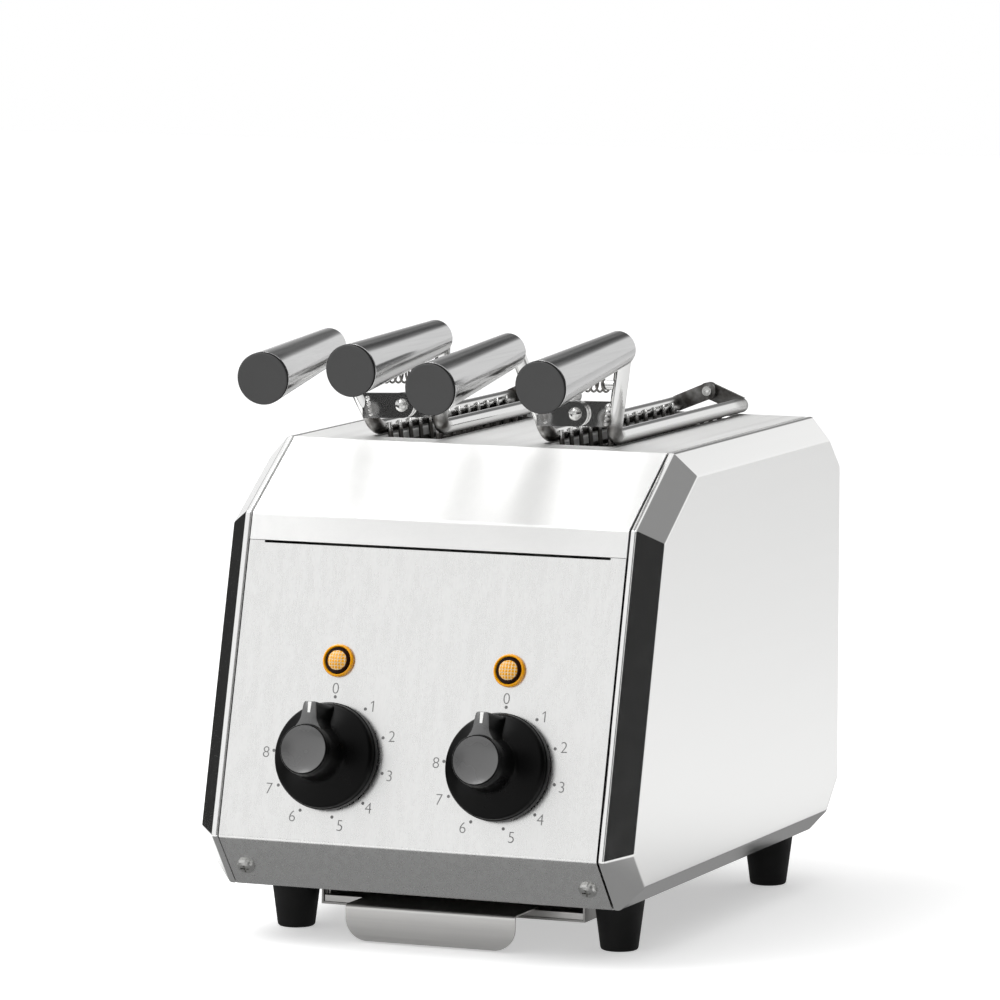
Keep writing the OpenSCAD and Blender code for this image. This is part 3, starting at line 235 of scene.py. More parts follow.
def pressedLens(name, ridgeHighlightHex, cellHex, pitch):
    # clear acrylic over an amber lamp: the pressed ridges are painted pale as painted highlights, and each
    # cell a deeper amber
    material, tree, output = newMaterial(name)
    place = addNode(tree, "ShaderNodeTexCoord").outputs["Object"]
    upright = addNode(tree, "ShaderNodeMapping", {"Vector": place, "Rotation": (radians(casingLean), 0, 0)})
    axes = addNode(tree, "ShaderNodeSeparateXYZ", {"Vector": upright.outputs[0]})
    waves = []
    for axis in ("X", "Z"):
        phase = addNode(tree, "ShaderNodeMath", {0: axes.outputs[axis], 1: 1000 * pi / pitch},
                        operation="MULTIPLY").outputs[0]
        wave = addNode(tree, "ShaderNodeMath", {0: phase}, operation="SINE").outputs[0]
        waves.append(addNode(tree, "ShaderNodeMath", {0: wave}, operation="ABSOLUTE").outputs[0])
    cell = addNode(tree, "ShaderNodeMath", {0: waves[0], 1: waves[1]}, operation="MULTIPLY").outputs[0]
    deep = addNode(tree, "ShaderNodeMapRange", {
        "Value": cell, "From Min": 0.1, "From Max": 0.4}).outputs["Result"]
    tint = addNode(tree, "ShaderNodeMix", {
        "Factor": deep, "A": linear(ridgeHighlightHex), "B": linear(cellHex)}, data_type="RGBA")
    shader = addNode(tree, "ShaderNodeBsdfPrincipled", {
        "Base Color": tint.outputs["Result"], "Roughness": 0.2, "IOR": 1.49, "Specular IOR Level": 0.4})
    tree.links.new(shader.outputs[0], output.inputs["Surface"])
    return material


# the weld's heat tint, also used as painted shade on the cage inside the slots
weldTintAndSlotShade = {
    "colour": "#4e4b48", "roughness": 0.42,
    "slotShadeStart": 0.2425, "paintedSlotShade": 0.2395, "share": 0.95,      # heights in metres between which the wire darkens with painted shade
}


def tongSteel(name, hexText, roughness, heated):
    # polished stainless rod, mirror bright, with dark grey heat tint round each weld
    # the cage under the slot's mouth is painted the same grey all over: painted shade inside the slot
    material, tree, output = newMaterial(name)
    place = addNode(tree, "ShaderNodeTexCoord").outputs["Object"]
    drawn = addNode(tree, "ShaderNodeMapping", {
        "Vector": place, "Scale": (1000 / 1.2, 1000 / 14, 1000 / 1.2)})
    noise = addNode(tree, "ShaderNodeTexNoise", {"Vector": drawn.outputs[0], "Scale": 1.0, "Detail": 3.0})
    blotch = addNode(tree, "ShaderNodeTexNoise", {"Vector": place, "Scale": 1000 / 6, "Detail": 2.0})
    welded = 0.0
    for centre, reach in heated:
        away = addNode(tree, "ShaderNodeVectorMath", {0: place, 1: tuple(c / 1000 for c in centre)},
                       operation="DISTANCE").outputs["Value"]
        near = addNode(tree, "ShaderNodeMapRange", {
            "Value": away, "From Min": reach / 1000, "From Max": reach / 2500, "To Min": 0.0, "To Max": 1.0},
            interpolation_type="SMOOTHSTEP").outputs["Result"]
        welded = addNode(tree, "ShaderNodeMath", {0: welded, 1: near}, operation="MAXIMUM").outputs[0]
    height = addNode(tree, "ShaderNodeSeparateXYZ", {"Vector": place}).outputs["Z"]
    # painted shade: below the slot's mouth the wire goes grey
    paintedSlotShade = addNode(tree, "ShaderNodeMapRange", {
        "Value": height, "From Min": weldTintAndSlotShade["slotShadeStart"], "From Max": weldTintAndSlotShade["paintedSlotShade"],
        "To Min": 0.0, "To Max": weldTintAndSlotShade["share"]}).outputs["Result"]
    patchy = addNode(tree, "ShaderNodeMapRange", {
        "Value": blotch.outputs["Fac"], "From Min": 0.3, "From Max": 0.65,
        "To Min": 0.6, "To Max": 1.0}).outputs["Result"]
    amount = addNode(tree, "ShaderNodeMath", {0: welded, 1: patchy}, operation="MULTIPLY").outputs[0]
    amount = addNode(tree, "ShaderNodeMath", {0: amount, 1: paintedSlotShade}, operation="MAXIMUM").outputs[0]
    tint = addNode(tree, "ShaderNodeMix", {
        "Factor": amount, "A": linear(hexText), "B": linear(weldTintAndSlotShade["colour"])}, data_type="RGBA")
    rough = addNode(tree, "ShaderNodeMapRange", {
        "Value": amount, "To Min": roughness, "To Max": weldTintAndSlotShade["roughness"]}).outputs["Result"]
    bump = addNode(tree, "ShaderNodeBump", {
        "Strength": 0.2, "Distance": 0.00001, "Height": noise.outputs["Fac"]})
    shader = addNode(tree, "ShaderNodeBsdfPrincipled", {
        "Base Color": tint.outputs["Result"], "Metallic": 1.0, "Roughness": rough, "Normal": bump.outputs[0]})
    tree.links.new(shader.outputs[0], output.inputs["Surface"])
    return material


casingLean = 14.8                        # the front panel leans back by this many degrees
lensPitch = 1.55                         # the pressed pyramids of a lamp's eye repeat at this distance
stainlessUpright = brushedStainless("brushedStainlessUpright", "#e9e9e8", 2, 0.28, 0.06, 0.03)
stainlessShell = brushedStainless("brushedStainlessShell", "#efefee", 1, 0.15, 0.03, 0.006)
# the top sheet's satin finish is real; its whiter tone than the other sheets is painted light
satinTopPaintedLight = brushedStainless("satinStainlessTopPaintedLight", "#f2f2f1", 1, 0.52, 0.04, 0.012)
stainlessInner = brushedStainless("millFinishStainless", "#b0afad", 1, 0.4)
stainlessTray = brushedStainless("brushedStainlessTray", "#d6d5d3", 0, 0.32)
gripSteel = brushedStainless("drawnStainlessGrip", "#c6c6c6", 1, 0.15, 0.08, 0.03)
chromedWire = plainMetal("chromedWire", "#b5b4b2", 0.22)
zincScrew = plainMetal("zincScrew", "#c8c8c6", 0.28)
rivetSteel = plainMetal("turnedSteelRivet", "#d4d4d2", 0.16)
springWire = plainMetal("drawnSpringWire", "#7d7b78", 0.3)
blackKnob = mouldedPlastic("mouldedPhenolicKnob", "#060606", 0.30, 0.35, 0.00001, 0.0, 0.10)
# the knob is black all over; its face is painted grey as a painted sheen
faceWithPaintedSheen = mouldedPlastic("phenolicFacePaintedSheen", "#565656", 0.26, 0.3, 0.00001, 0.0, 0.8)
blackCap = mouldedPlastic("mattAbsCap", "#464646", 0.55, 0.5, 0.00002, 0.0, 0.4)
# the cap's side is painted near black: painted shade of the groove at the cap's edge
capEdgePaintedShade = mouldedPlastic("mattAbsCapEdgePaintedShade", "#060606", 0.7, 0.5, 0.00002, 0.0, 0.1)
blackRubber = mouldedPlastic("mouldedRubberFoot", "#141414", 0.62, 0.8, 0.00006, 0.0, 0.3)
darkHousing = mouldedPlastic("mouldedPaHousing", "#2c2c2c", 0.55)
ivoryBlock = mouldedPlastic("mouldedPaTerminal", "#d6d0c0", 0.5)
whiteCeramic = mouldedPlastic("steatiteEndCap", "#e2ddd2", 0.7, 0.7, 0.00004)
amberLens = mouldedPlastic("amberAcrylicLens", "#e8941c", 0.12, 3, 0.00001, 0.8)
quartzTube = mouldedPlastic("quartzTube", "#d8d4ca", 0.2)
amberRing = mouldedPlastic("amberAcrylicRing", "#fbab08", 0.15, 3, 0.00001, 0.3, 0.3)
# the lamp's well is painted dark brown: painted shade in the groove round the eye
amberWellPaintedShade = mouldedPlastic("amberAcrylicWellPaintedShade", "#2c1608", 0.3, 3, 0.00001, 0.0, 0.2)
# the eye's pale ridges are painted highlights
amberEye = pressedLens("pressedAcrylicEye", "#f4dcae", "#f0a40c", lensPitch)
greyInk = mouldedPlastic("screenPrintedInk", "#787878", 0.6)
whiteInk = mouldedPlastic("whiteFilledLine", "#f4f4f2", 0.5)

nodeFinish = {
    "side_shell": stainlessShell, "top_cover": satinTopPaintedLight, "front_panel_screws": zincScrew,
    "front_panel": stainlessUpright, "rear_panel_screws": zincScrew, "rear_panel": stainlessUpright,
    "base_plate": stainlessInner, "foot_screws": zincScrew, "foot_nuts": zincScrew, "foot_": blackRubber,
    "tray_guide": stainlessInner, "crumb_tray": stainlessTray, "front_bulkhead": stainlessInner,
    "rear_bulkhead": stainlessInner, "heat_shield": stainlessInner, "heater_end_caps": whiteCeramic,
    "heater_": quartzTube, "guard_basket": chromedWire, "timer_shaft": zincScrew, "timer_nuts": zincScrew,
    "timer_": darkHousing, "knob_": blackKnob, "lamp_lens": amberLens, "lamp_body": darkHousing,
    "terminal_block": ivoryBlock, "cable_gland": blackRubber, "side_shell_screws": zincScrew,
}


def finishFor(name):
    if name.startswith("tong_"):
        return (gripSteel if "_handle_" in name else blackCap if "_cap_" in name
                else springWire if "_spring" in name else rivetSteel)
    starts = [start for start in nodeFinish if name.startswith(start)]
    return nodeFinish[max(starts, key=len)]


for name, obj in nodes.items():
    for slotOne in obj.material_slots:
        slotOne.material = finishFor(name)
print("materials set")


# Mesh helpers. A part is (points, faces), with the casing's middle at x 0 and y 0 and the floor at z 0

def insetLoop(loop, distance):
    result = []
    count = len(loop)
    for i in range(count):
        a, b, c = (Vector(loop[(i + k) % count]) for k in (-1, 0, 1))
        u, w = (b - a).normalized(), (c - b).normalized()
        n, m = Vector((u.y, -u.x)), Vector((w.y, -w.x))
        result.append(b + (n + m) * distance / (1 + n.dot(m)))
    return result


def cornerArc(a, b, c, radius, steps):
    a, b, c = Vector(a), Vector(b), Vector(c)
    u, w = (a - b).normalized(), (c - b).normalized()
    half = acos(max(-1, min(1, u.dot(w)))) / 2
    centre = b + (u + w).normalized() * radius / sin(half)
    p, q = b + u * radius / tan(half) - centre, b + w * radius / tan(half) - centre
    start = atan2(p.y, p.x)
    sweep = atan2(q.y, q.x) - start
    sweep = sweep - 2 * pi if sweep > pi else sweep + 2 * pi if sweep < -pi else sweep
    turns = [start + sweep * k / steps for k in range(steps + 1)]
    return [centre + radius * Vector((cos(turn), sin(turn))) for turn in turns]


def roundedLoop(loop, radius, steps=4):
    corners = [(loop[i - 1], loop[i], loop[(i + 1) % len(loop)]) for i in range(len(loop))]
    return [p for a, b, c in corners for p in cornerArc(a, b, c, radius, steps)]


def roundedPath(path, radius, steps=6):
    inner = [p for a, b, c in zip(path, path[1:], path[2:]) for p in cornerArc(a, b, c, radius, steps)]
    return [Vector(path[0])] + inner + [Vector(path[-1])]


def ringPart(rings, closed=True, capStart=False, capEnd=False):
    size = len(rings[0])
    points = [Vector(p) for ring in rings for p in ring]
    last = size if closed else size - 1
    faces = [(k * size + i, k * size + (i + 1) % size, (k + 1) * size + (i + 1) % size, (k + 1) * size + i)
             for k in range(len(rings) - 1) for i in range(last)]
    if capStart:
        faces.append(tuple(range(size - 1, -1, -1)))
    if capEnd:
        faces.append(tuple((len(rings) - 1) * size + i for i in range(size)))
    return points, faces


def prismPart(shape, low, high):
    return ringPart([[(x, y, z) for x, y in shape] for z in (low, high)], True, True, True)


def lowEdge(radius, edge, step):
    # the profile of a rounded lower edge
    turns = [radians(a) for a in range(0, 91, step)]
    return [(radius - edge + edge * sin(a), edge - edge * cos(a)) for a in turns]


def revolvePart(profile, segments):
    rings, points, faces = [], [], []
    angles = [2 * pi * k / segments for k in range(segments)]
    for radius, height in profile:
        if radius < 1e-6:                            # a point on the axis
            rings.append([len(points)])
            points.append(Vector((0, 0, height)))
        else:
            rings.append(list(range(len(points), len(points) + segments)))
            points += [Vector((radius * cos(angle), radius * sin(angle), height)) for angle in angles]
    pairs = list(zip(rings, rings[1:]))
    if len(rings[0]) > 1 and len(rings[-1]) > 1:
        pairs.append((rings[-1], rings[0]))          # a ring shape closes on itself
    elif len(rings[0]) > 1:
        faces.append(tuple(reversed(rings[0])))
    elif len(rings[-1]) > 1:
        faces.append(tuple(rings[-1]))
    for low, high in pairs:
        for k in range(segments):
            n = (k + 1) % segments
            if len(low) == 1 and len(high) > 1:
                faces.append((low[0], high[n], high[k]))
            elif len(high) == 1 and len(low) > 1:
                faces.append((low[k], low[n], high[0]))
            elif len(low) > 1:
                faces.append((low[k], low[n], high[n], high[k]))
    return points, faces


def tubePart(path, radius, sides):
    last = len(path) - 1
    ways = [(path[min(k + 1, last)] - path[max(k - 1, 0)]).normalized() for k in range(last + 1)]
    angles = [2 * pi * j / sides for j in range(sides)]
    side = ways[0].orthogonal().normalized()
    rings = []
    for p, way in zip(path, ways):
        side = (side - way * side.dot(way)).normalized()
        other = way.cross(side)
        rings.append([p + radius * (side * cos(angle) + other * sin(angle)) for angle in angles])
    return ringPart(rings, True, True, True)


def moved(part, matrix):
    points, faces = part
    flip = matrix.to_3x3().determinant() < 0
    return [matrix @ p for p in points], [tuple(reversed(f)) for f in faces] if flip else faces


def joined(parts):
    points, faces = [], []
    for some, skin in parts:
        base = len(points)
        points += some
        faces += [tuple(i + base for i in f) for f in skin]
    return points, faces


def thickened(mesh, thickness):
    holder = bpy.data.objects.new("sheetStock", mesh)
    bpy.context.scene.collection.objects.link(holder)
    shell = holder.modifiers.new("sheet", "SOLIDIFY")
    shell.thickness = abs(thickness) / 1000
    shell.offset = -1 if thickness > 0 else 1
    shell.use_even_offset = True
    solid = bpy.data.meshes.new_from_object(holder.evaluated_get(bpy.context.evaluated_depsgraph_get()))
    bpy.data.objects.remove(holder)
    bpy.data.meshes.remove(mesh)
    return solid


def addPiece(name, part, material, body, replaced=(), sharpAngle=38, thickness=0, weighted=False):
    points, faces = part
    weldReach = 1e-6                     # metres
    mesh = bpy.data.meshes.new(name)
    mesh.from_pydata([(p[0] / 1000, (p[1] + frameShift) / 1000, p[2] / 1000) for p in points], [], faces)
    mesh.validate()
    work = bmesh.new()
    work.from_mesh(mesh)
    bmesh.ops.remove_doubles(work, verts=work.verts, dist=weldReach)
    bmesh.ops.recalc_face_normals(work, faces=work.faces)
    work.to_mesh(mesh)
    work.free()
    if thickness:
        mesh = thickened(mesh, thickness)
        mesh.name = name
    work = bmesh.new()
    work.from_mesh(mesh)
    for edge in work.edges:
        edge.smooth = len(edge.link_faces) != 2 or edge.calc_face_angle(0) < radians(sharpAngle)
    for face in work.faces:
        face.smooth = True
    work.to_mesh(mesh)
    work.free()
    piece = bpy.data.objects.new(name, mesh)
    bpy.context.scene.collection.objects.link(piece)
    mesh.materials.append(material)
    if weighted:
        even = piece.modifiers.new("evenShade", "WEIGHTED_NORMAL")
        even.keep_sharp = True
        even.weight = 100
    if replaced:
        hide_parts(*replaced)
    if body:
        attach(piece, body)
    return piece


# Casing

casing = {
    "width": 225, "depth": 308, "top": 238, "footHeight": 26.4, "sheet": 1.2, "bendRadius": 2.6,
    "lean": casingLean, "lowBend": 52.5, "highBend": 205.7, "shoulderRun": 49.5, "frontChamfer": 21.3,
    "rearRun": 22.5, "rearRise": 21.3, "bevel": 11, "rim": 2.9, "flange": 9, "seam": 0.7,
    "coverLip": 13.2, "lipSeam": 0.25, "lipGap": 1.3, "lipGapWidth": 180, "panelReturn": 10,
}
sideCover = {
    "rimRadius": 0.9, "foldRadius": 2.2, "faceRadius": 2.0,        # rounding across each press line
    "rimCorner": 1.2, "foldCorner": 1.6, "faceCorner": 1.8,        # rounding at the outline's corners
    "flat": 3,                                                     # the side face starts this far inside
}
slots = {
    "pitch": 90, "width": 33.5, "length": 165, "front": -47, "fold": 5, "edgeRadius": 1.6,
    "cornerRadius": 1.2, "border": 1.5,
}
foot = {
    "x": 85.1, "frontY": -90.7, "rearY": 116.1, "low": 9.3, "top": 12.7, "height": 27.6, "edge": 1.6,
    "bore": 2.7, "seat": 5.4, "seatTop": 11, "dish": 0.3,          # the screw hole and its wider seat below
}


def sideOutline(c):
    front, rear = -c["depth"] / 2, c["depth"] / 2
    head = front + (c["highBend"] - c["lowBend"]) * tan(radians(c["lean"]))
    return [
        (front + c["frontChamfer"], c["footHeight"]), (front, c["lowBend"]), (head, c["highBend"]),
        (head + c["shoulderRun"], c["top"]), (rear - c["rearRun"], c["top"]),
        (rear, c["top"] - c["rearRise"]), (rear, c["footHeight"] + c["rearRise"]),
        (rear - c["rearRun"], c["footHeight"]),
    ]


outline = sideOutline(casing)
halfWidth = casing["width"] / 2
bevelStart = halfWidth - casing["bevel"]
rimStart = bevelStart - casing["rim"]
panelEdge = rimStart - casing["seam"]


def onFront(height):
    a, b = Vector(outline[1]), Vector(outline[2])
    return a + (b - a) * (height - a.y) / (b.y - a.y)


def makeSideShell(side, material):
    c, bevel = sideCover, casing["bevel"]
    rimR, foldR, faceR = c["rimRadius"], c["foldRadius"], c["faceRadius"]
    fold, face = foldR * tan(radians(22.5)), faceR * tan(radians(22.5))
    rings = [(rimStart, casing["flange"], c["rimCorner"]), (rimStart, rimR, c["rimCorner"])]
    for a in (radians(30), radians(60), radians(90)):              # rolled edge of the flange
        rings.append((rimStart + rimR * (1 - cos(a)), rimR * (1 - sin(a)), c["rimCorner"]))
    for a in [radians(45 * k / 4) for k in range(5)]:              # rim into bevel, one soft press line
        rings.append((bevelStart - fold + foldR * sin(a), foldR * (1 - cos(a)), c["foldCorner"]))
    for a in [radians(45 + 45 * k / 4) for k in range(5)]:         # bevel into the side face
        rings.append((halfWidth - faceR * (1 - sin(a)), bevel + face - faceR * cos(a), c["faceCorner"]))
    rings.append((halfWidth, bevel + face + c["flat"], c["faceCorner"]))
    loops = [[(x, p.x, p.y) for p in roundedLoop(insetLoop(outline, d), r, 5)] for x, d, r in rings]
    part = moved(ringPart(loops, True, False, True), Matrix.Diagonal((signs[side], 1, 1, 1)))
    addPiece("sideCover_" + side, part, material, "toaster", ["side_shell_" + side], 50,
             casing["sheet"], True)


def strip(path, edges):
    rings = [[(x, p.x, p.y) for x in edges] for p in path]
    return ringPart(rings, False)


def slotLoop(centre, grow, height, corner):
    halfX, halfY = slots["width"] / 2 + grow, slots["length"] / 2 + grow
    box = [(centre[0] + i * halfX, centre[1] + j * halfY) for i, j in ((-1, -1), (1, -1), (1, 1), (-1, 1))]
    return [(p.x, p.y, height) for p in roundedLoop(box, corner, 5)]


def slotMouth(centre, border):
    top, radius, corner = casing["top"], slots["edgeRadius"], slots["cornerRadius"]
    rings = [slotLoop(centre, border, top, 0.01)]
    for a in [radians(90 * k / 4) for k in range(5)]:
        out = radius * (1 - sin(a))
        rings.append(slotLoop(centre, out, top - radius * (1 - cos(a)), corner + out))
    rings.append(slotLoop(centre, 0, top - slots["fold"], corner))
    return ringPart(rings, True)


def makeTopCover(material):
    lip = onFront(casing["highBend"] - casing["coverLip"] * cos(radians(casing["lean"])))
    rearLip = (outline[5][0], outline[5][1] - casing["coverLip"])
    path = roundedPath([lip] + outline[2:6] + [rearLip], casing["bendRadius"], 6)
    flat = [k for k, p in enumerate(path) if abs(p.y - casing["top"]) < 1e-4]
    border = slots["edgeRadius"] + slots["border"]
    reachX, reachY = slots["width"] / 2 + border, slots["length"] / 2 + border
    middle = slots["front"] + slots["length"] / 2
    centres = [(-slots["pitch"] / 2, middle), (slots["pitch"] / 2, middle)]
    xs = [-panelEdge] + [x + s * reachX for x, y in centres for s in (-1, 1)] + [panelEdge]
    ys = [path[flat[0]].x, middle - reachY, middle + reachY, path[flat[-1]].x]
    row = len(xs)
    points = [Vector((x, y, casing["top"])) for y in ys for x in xs]
    # the slots stay open in the middle row of faces
    starts = [j * row + i for j in range(3) for i in range(5) if j != 1 or i not in (1, 3)]
    faces = [(k, k + 1, k + row + 1, k + row) for k in starts]
    parts = [strip(path[:flat[0] + 1], xs), strip(path[flat[-1]:], xs), (points, faces)]
    parts += [slotMouth(centre, border) for centre in centres]
    addPiece("topCover", joined(parts), material, "toaster", ["top_cover"], 40,
             casing["sheet"], True)


def makeFrontPanel(material):
    lipHeight = casing["highBend"] - casing["coverLip"] * cos(radians(casing["lean"]))
    topEdge, notch = onFront(lipHeight - casing["lipSeam"]), onFront(lipHeight - casing["lipGap"])
    low = outline[0]
    path = [notch, outline[1], low, (low[0] + casing["panelReturn"], low[1])]
    half = casing["lipGapWidth"] / 2
    parts = [strip(roundedPath(path, casing["bendRadius"], 6), [-panelEdge, -half, half, panelEdge])]
    for edges in ([-panelEdge, -half], [half, panelEdge]):
        parts.append(strip([topEdge, notch], edges))
    addPiece("frontPanel", joined(parts), material, "toaster", ["front_panel"], 40,
             casing["sheet"], True)


def makeFoot(end, side):
    low, top, height, edge = foot["low"], foot["top"], foot["height"], foot["edge"]
    profile = [(foot["bore"], foot["seatTop"]), (foot["seat"], foot["seatTop"]), (foot["seat"], foot["dish"])]
    profile += lowEdge(low, edge, 15)
    profile += [(low + (top - low) * t, edge + (height - edge) * t) for t in (0.3, 0.7, 0.97)]
    profile += [(top - 0.25, height), (foot["bore"], height)]      # closes on the screw hole
    place = Matrix.Translation((signs[side] * foot["x"], foot[end + "Y"], 0))
    addPiece("rubberFoot_%s_%s" % (end, side), moved(revolvePart(profile, 64), place), blackRubber, "toaster",
             ["foot_%s_%s" % (end, side)])


tray = {
    "panHalf": 68, "panLow": 13.75, "front": -95, "rear": 110.7, "wall": 8.5, "sheet": 0.8,
    "lowWall": 5, "wallSlope": 0.4,                                # the side walls are cut low at the front
    "lipTop": 17.6, "lipLow": 1, "lipWidth": 88.7, "lipY": -123, "lipCorner": 11, "lipBend": 1.3,
    "lipLap": 0.7,
}


def makeCrumbPan(c):
    half, front, rear, low, sheet = c["panHalf"], c["front"], c["rear"], c["panLow"], c["sheet"]
    cut = front + c["lowWall"]
    full = cut + c["wallSlope"]
    outer = [(-half, front), (half, front), (half, cut), (half, full),
             (half, rear), (-half, rear), (-half, full), (-half, cut)]
    inner = [(x * (half - sheet) / half, min(max(y, front + sheet), rear - sheet)) for x, y in outer]
    rim = [low + c["wall"] if y >= full else c["lipTop"] - sheet for x, y in outer]
    rings = [[(x, y, low) for x, y in outer], [(x, y, z) for (x, y), z in zip(outer, rim)],
             [(x, y, z) for (x, y), z in zip(inner, rim)], [(x, y, low + sheet) for x, y in inner]]
    addPiece("crumbPan", ringPart(rings, True, True, True), stainlessTray, "crumb_tray",
             ["crumb_tray"], 30)


def makeTrayLip(c):
    corner = c["lipCorner"]
    corners = [(c["front"] + c["lipLap"], c["lipTop"]), (c["lipY"], c["lipTop"]), (c["lipY"], c["lipLow"])]
    path = roundedPath(corners, c["lipBend"], 6)[:-1]
    path += [Vector((c["lipY"], c["lipLow"] + corner * (1 - sin(radians(a))))) for a in range(0, 91, 6)]
    rows = []
    for p in path:
        drop = max(0.0, c["lipLow"] + corner - p.y)
        half = c["lipWidth"] / 2 - corner + sqrt(max(0.0, corner ** 2 - drop ** 2))
        rows.append([(half * t, p.x, p.y) for t in (-1, -0.5, 0, 0.5, 1)])
    addPiece("crumbTrayLip", ringPart(rows, False), stainlessTray, "crumb_tray", (), 30,
             -c["sheet"], True)


makeCrumbPan(tray)
makeTrayLip(tray)
makeSideShell("left", stainlessShell)
makeSideShell("right", stainlessShell)
makeTopCover(satinTopPaintedLight)
makeFrontPanel(stainlessUpright)
for footEnd in ("front", "rear"):
    for footSide in signs:
        makeFoot(footEnd, footSide)
print("casing built")


# Front panel: knobs, lamps and the printed scale

controls = {"pitch": 88.8, "knobHeight": 92.9, "lampHeight": 138}
knob = {
    "skirt": 52, "rim": 7, "height": 31.64, "grip": 25, "gap": 1, "dish": 1.7, "faceInset": 1.05,
    "footReach": 2.2, "footRise": 5.5, "shaft": 3.4, "hollow": 9, "shaftTop": 14,
    "pointerWidth": 6.4, "pointerReach": 23.4, "pointerDrop": 2.4, "lineWidth": 1.75, "lineLength": 5.2,
    "lineInset": 0.35,
}
lamp = {
    "radius": 8, "tubeInner": 4.6, "tubeOuter": 5.9, "tubeDepth": 8, "top": 2.2,
    "eyeInset": 2.9, "eyeLow": 0.6, "eyeRise": 1.5, "cells": 14, "pyramid": 0.3,
}
scale = {                                # the places of the figures 0 to 8 are from the dial's axis
    "dotRing": 29.15, "dot": 0.8, "step": 34.11, "figure": 5.2,
    "places": [(-0.2, 33.3), (20.0, 25.7), (31.6, 11.7), (32.3, -7.2), (23.1, -23.2), (9.2, -32.6),
               (-16.0, -29.5), (-29.5, -16.9), (-33.1, 0.6)],
}


def onPanel(side, height):
    p = onFront(height)
    turn = Matrix.Rotation(radians(90 - casing["lean"]), 4, "X")
    return Matrix.Translation((signs[side] * controls["pitch"] / 2, p.x, p.y)) @ turn


def knobFace():
    faceR, top, dish = knob["grip"] / 2 - knob["faceInset"], knob["height"], knob["dish"]
    under = top - dish - 1.2
    profile = [(0, under), (faceR - 0.02, under), (faceR - 0.02, top - 0.12)]
    # the dished face, from its rim to the middle
    for share in [k / 12 for k in range(11, -1, -1)]:
        profile.append((faceR * share, top - dish + (dish - 0.14) * share ** 2.4))
    return revolvePart(profile, 96)


def knobShell():
    r, gripR, top, gap = knob["skirt"] / 2, knob["grip"] / 2, knob["height"], knob["gap"]
    rimTop, faceR = gap + knob["rim"], gripR - knob["faceInset"]
    footR, footTop = gripR + knob["footReach"], rimTop + knob["footRise"]
    # the rounded edge round the grip's face
    profile = [(faceR, top - knob["dish"] - 1.0), (faceR, top - 0.12), (faceR + 0.12, top - 0.04),
               (faceR + 0.4, top - 0.05), (faceR + 0.62, top - 0.4), (gripR - 0.35, top - 1.2)]
    # the grip's side, which flares into its foot
    profile += [(gripR - 0.28, top - 1.8), (gripR, top - 2.5), (gripR + 0.25, top - 6),
                (gripR + 0.9, footTop + 2.2), (gripR + 1.1, footTop + 1.2), (gripR + 1.6, footTop + 0.55),
                (footR, footTop), (footR + 0.5, footTop - 0.35)]
    # the skirt with its stepped rim
    profile += [(r - 3.6, rimTop + 1.0), (r - 2.3, rimTop + 0.55), (r - 1.5, rimTop + 0.15),
                (r - 0.95, rimTop - 0.4), (r - 0.62, rimTop - 1.1), (r - 0.5, rimTop - 2.9),
                (r - 0.42, rimTop - 3.2), (r - 0.06, rimTop - 3.5), (r, rimTop - 3.9), (r, gap + 0.4)]
    # the hollow underside and the shaft's seat
    profile += [(r - 0.4, gap), (r - 2.4, gap), (r - 2.6, rimTop - 1.6), (gripR, knob["hollow"]),
                (knob["shaft"], knob["hollow"]), (knob["shaft"], knob["shaftTop"]), (0, knob["shaftTop"])]
    return revolvePart(profile, 96)


def pointerPart(levels):
    tip, reach, gripR = knob["pointerWidth"] / 2, knob["pointerReach"], knob["grip"] / 2
    a, b = Vector((tip + 0.9, reach * 0.68)), Vector((tip + 1.6, gripR * 0.98))
    c = Vector((gripR * 0.86, gripR * 0.5))
    flare = [a * (1 - t) ** 2 + b * 2 * t * (1 - t) + c * t * t for t in (k / 8 for k in range(8, -1, -1))]
    flare += [Vector(p) for p in ((tip + 0.35, reach - 2.2), (tip + 0.1, reach - 0.9),
                                  (tip - 0.5, reach - 0.2), (tip - 1.3, reach))]
    rings = []
    for z, grow in levels:
        right = [(p.x + grow * 0.9, p.y + grow * (0.8 if p.y > reach - 3 else 0.3)) for p in flare]
        rings.append([(x, y, z) for x, y in right] + [(-x, y, z) for x, y in reversed(right)])
    return ringPart(rings, True, True, True)


def makeKnob(side):
    place, body = onPanel(side, controls["knobHeight"]), "knob_" + side
    rimTop, finTop = knob["gap"] + knob["rim"], knob["height"] - knob["pointerDrop"]
    fin = pointerPart([(rimTop - 0.3, 0.9), (rimTop + 1.2, 0.55), (rimTop + 3, 0.35), (finTop - 1.0, 0.02),
                       (finTop - 0.5, -0.04)])
    finFace = pointerPart([(finTop - 0.52, -0.06), (finTop - 0.15, -0.22), (finTop, -0.5)])
    half, end = knob["lineWidth"] / 2, knob["pointerReach"] - knob["lineInset"]
    start = end - knob["lineLength"]
    line = prismPart([(-half * 0.75, start), (half * 0.75, start), (half, end), (-half, end)],
                     finTop - 0.1, finTop + 0.1)
    addPiece("dialKnob_" + side, moved(joined([knobShell(), fin]), place), blackKnob, body,
             [body], 34)
    # the face and the pointer's top are painted grey: painted sheen
    addPiece("dialFace_" + side, moved(joined([knobFace(), finFace]), place), faceWithPaintedSheen, body,
             (), 34)
    addPiece("dialLine_" + side, moved(line, place), whiteInk, body)


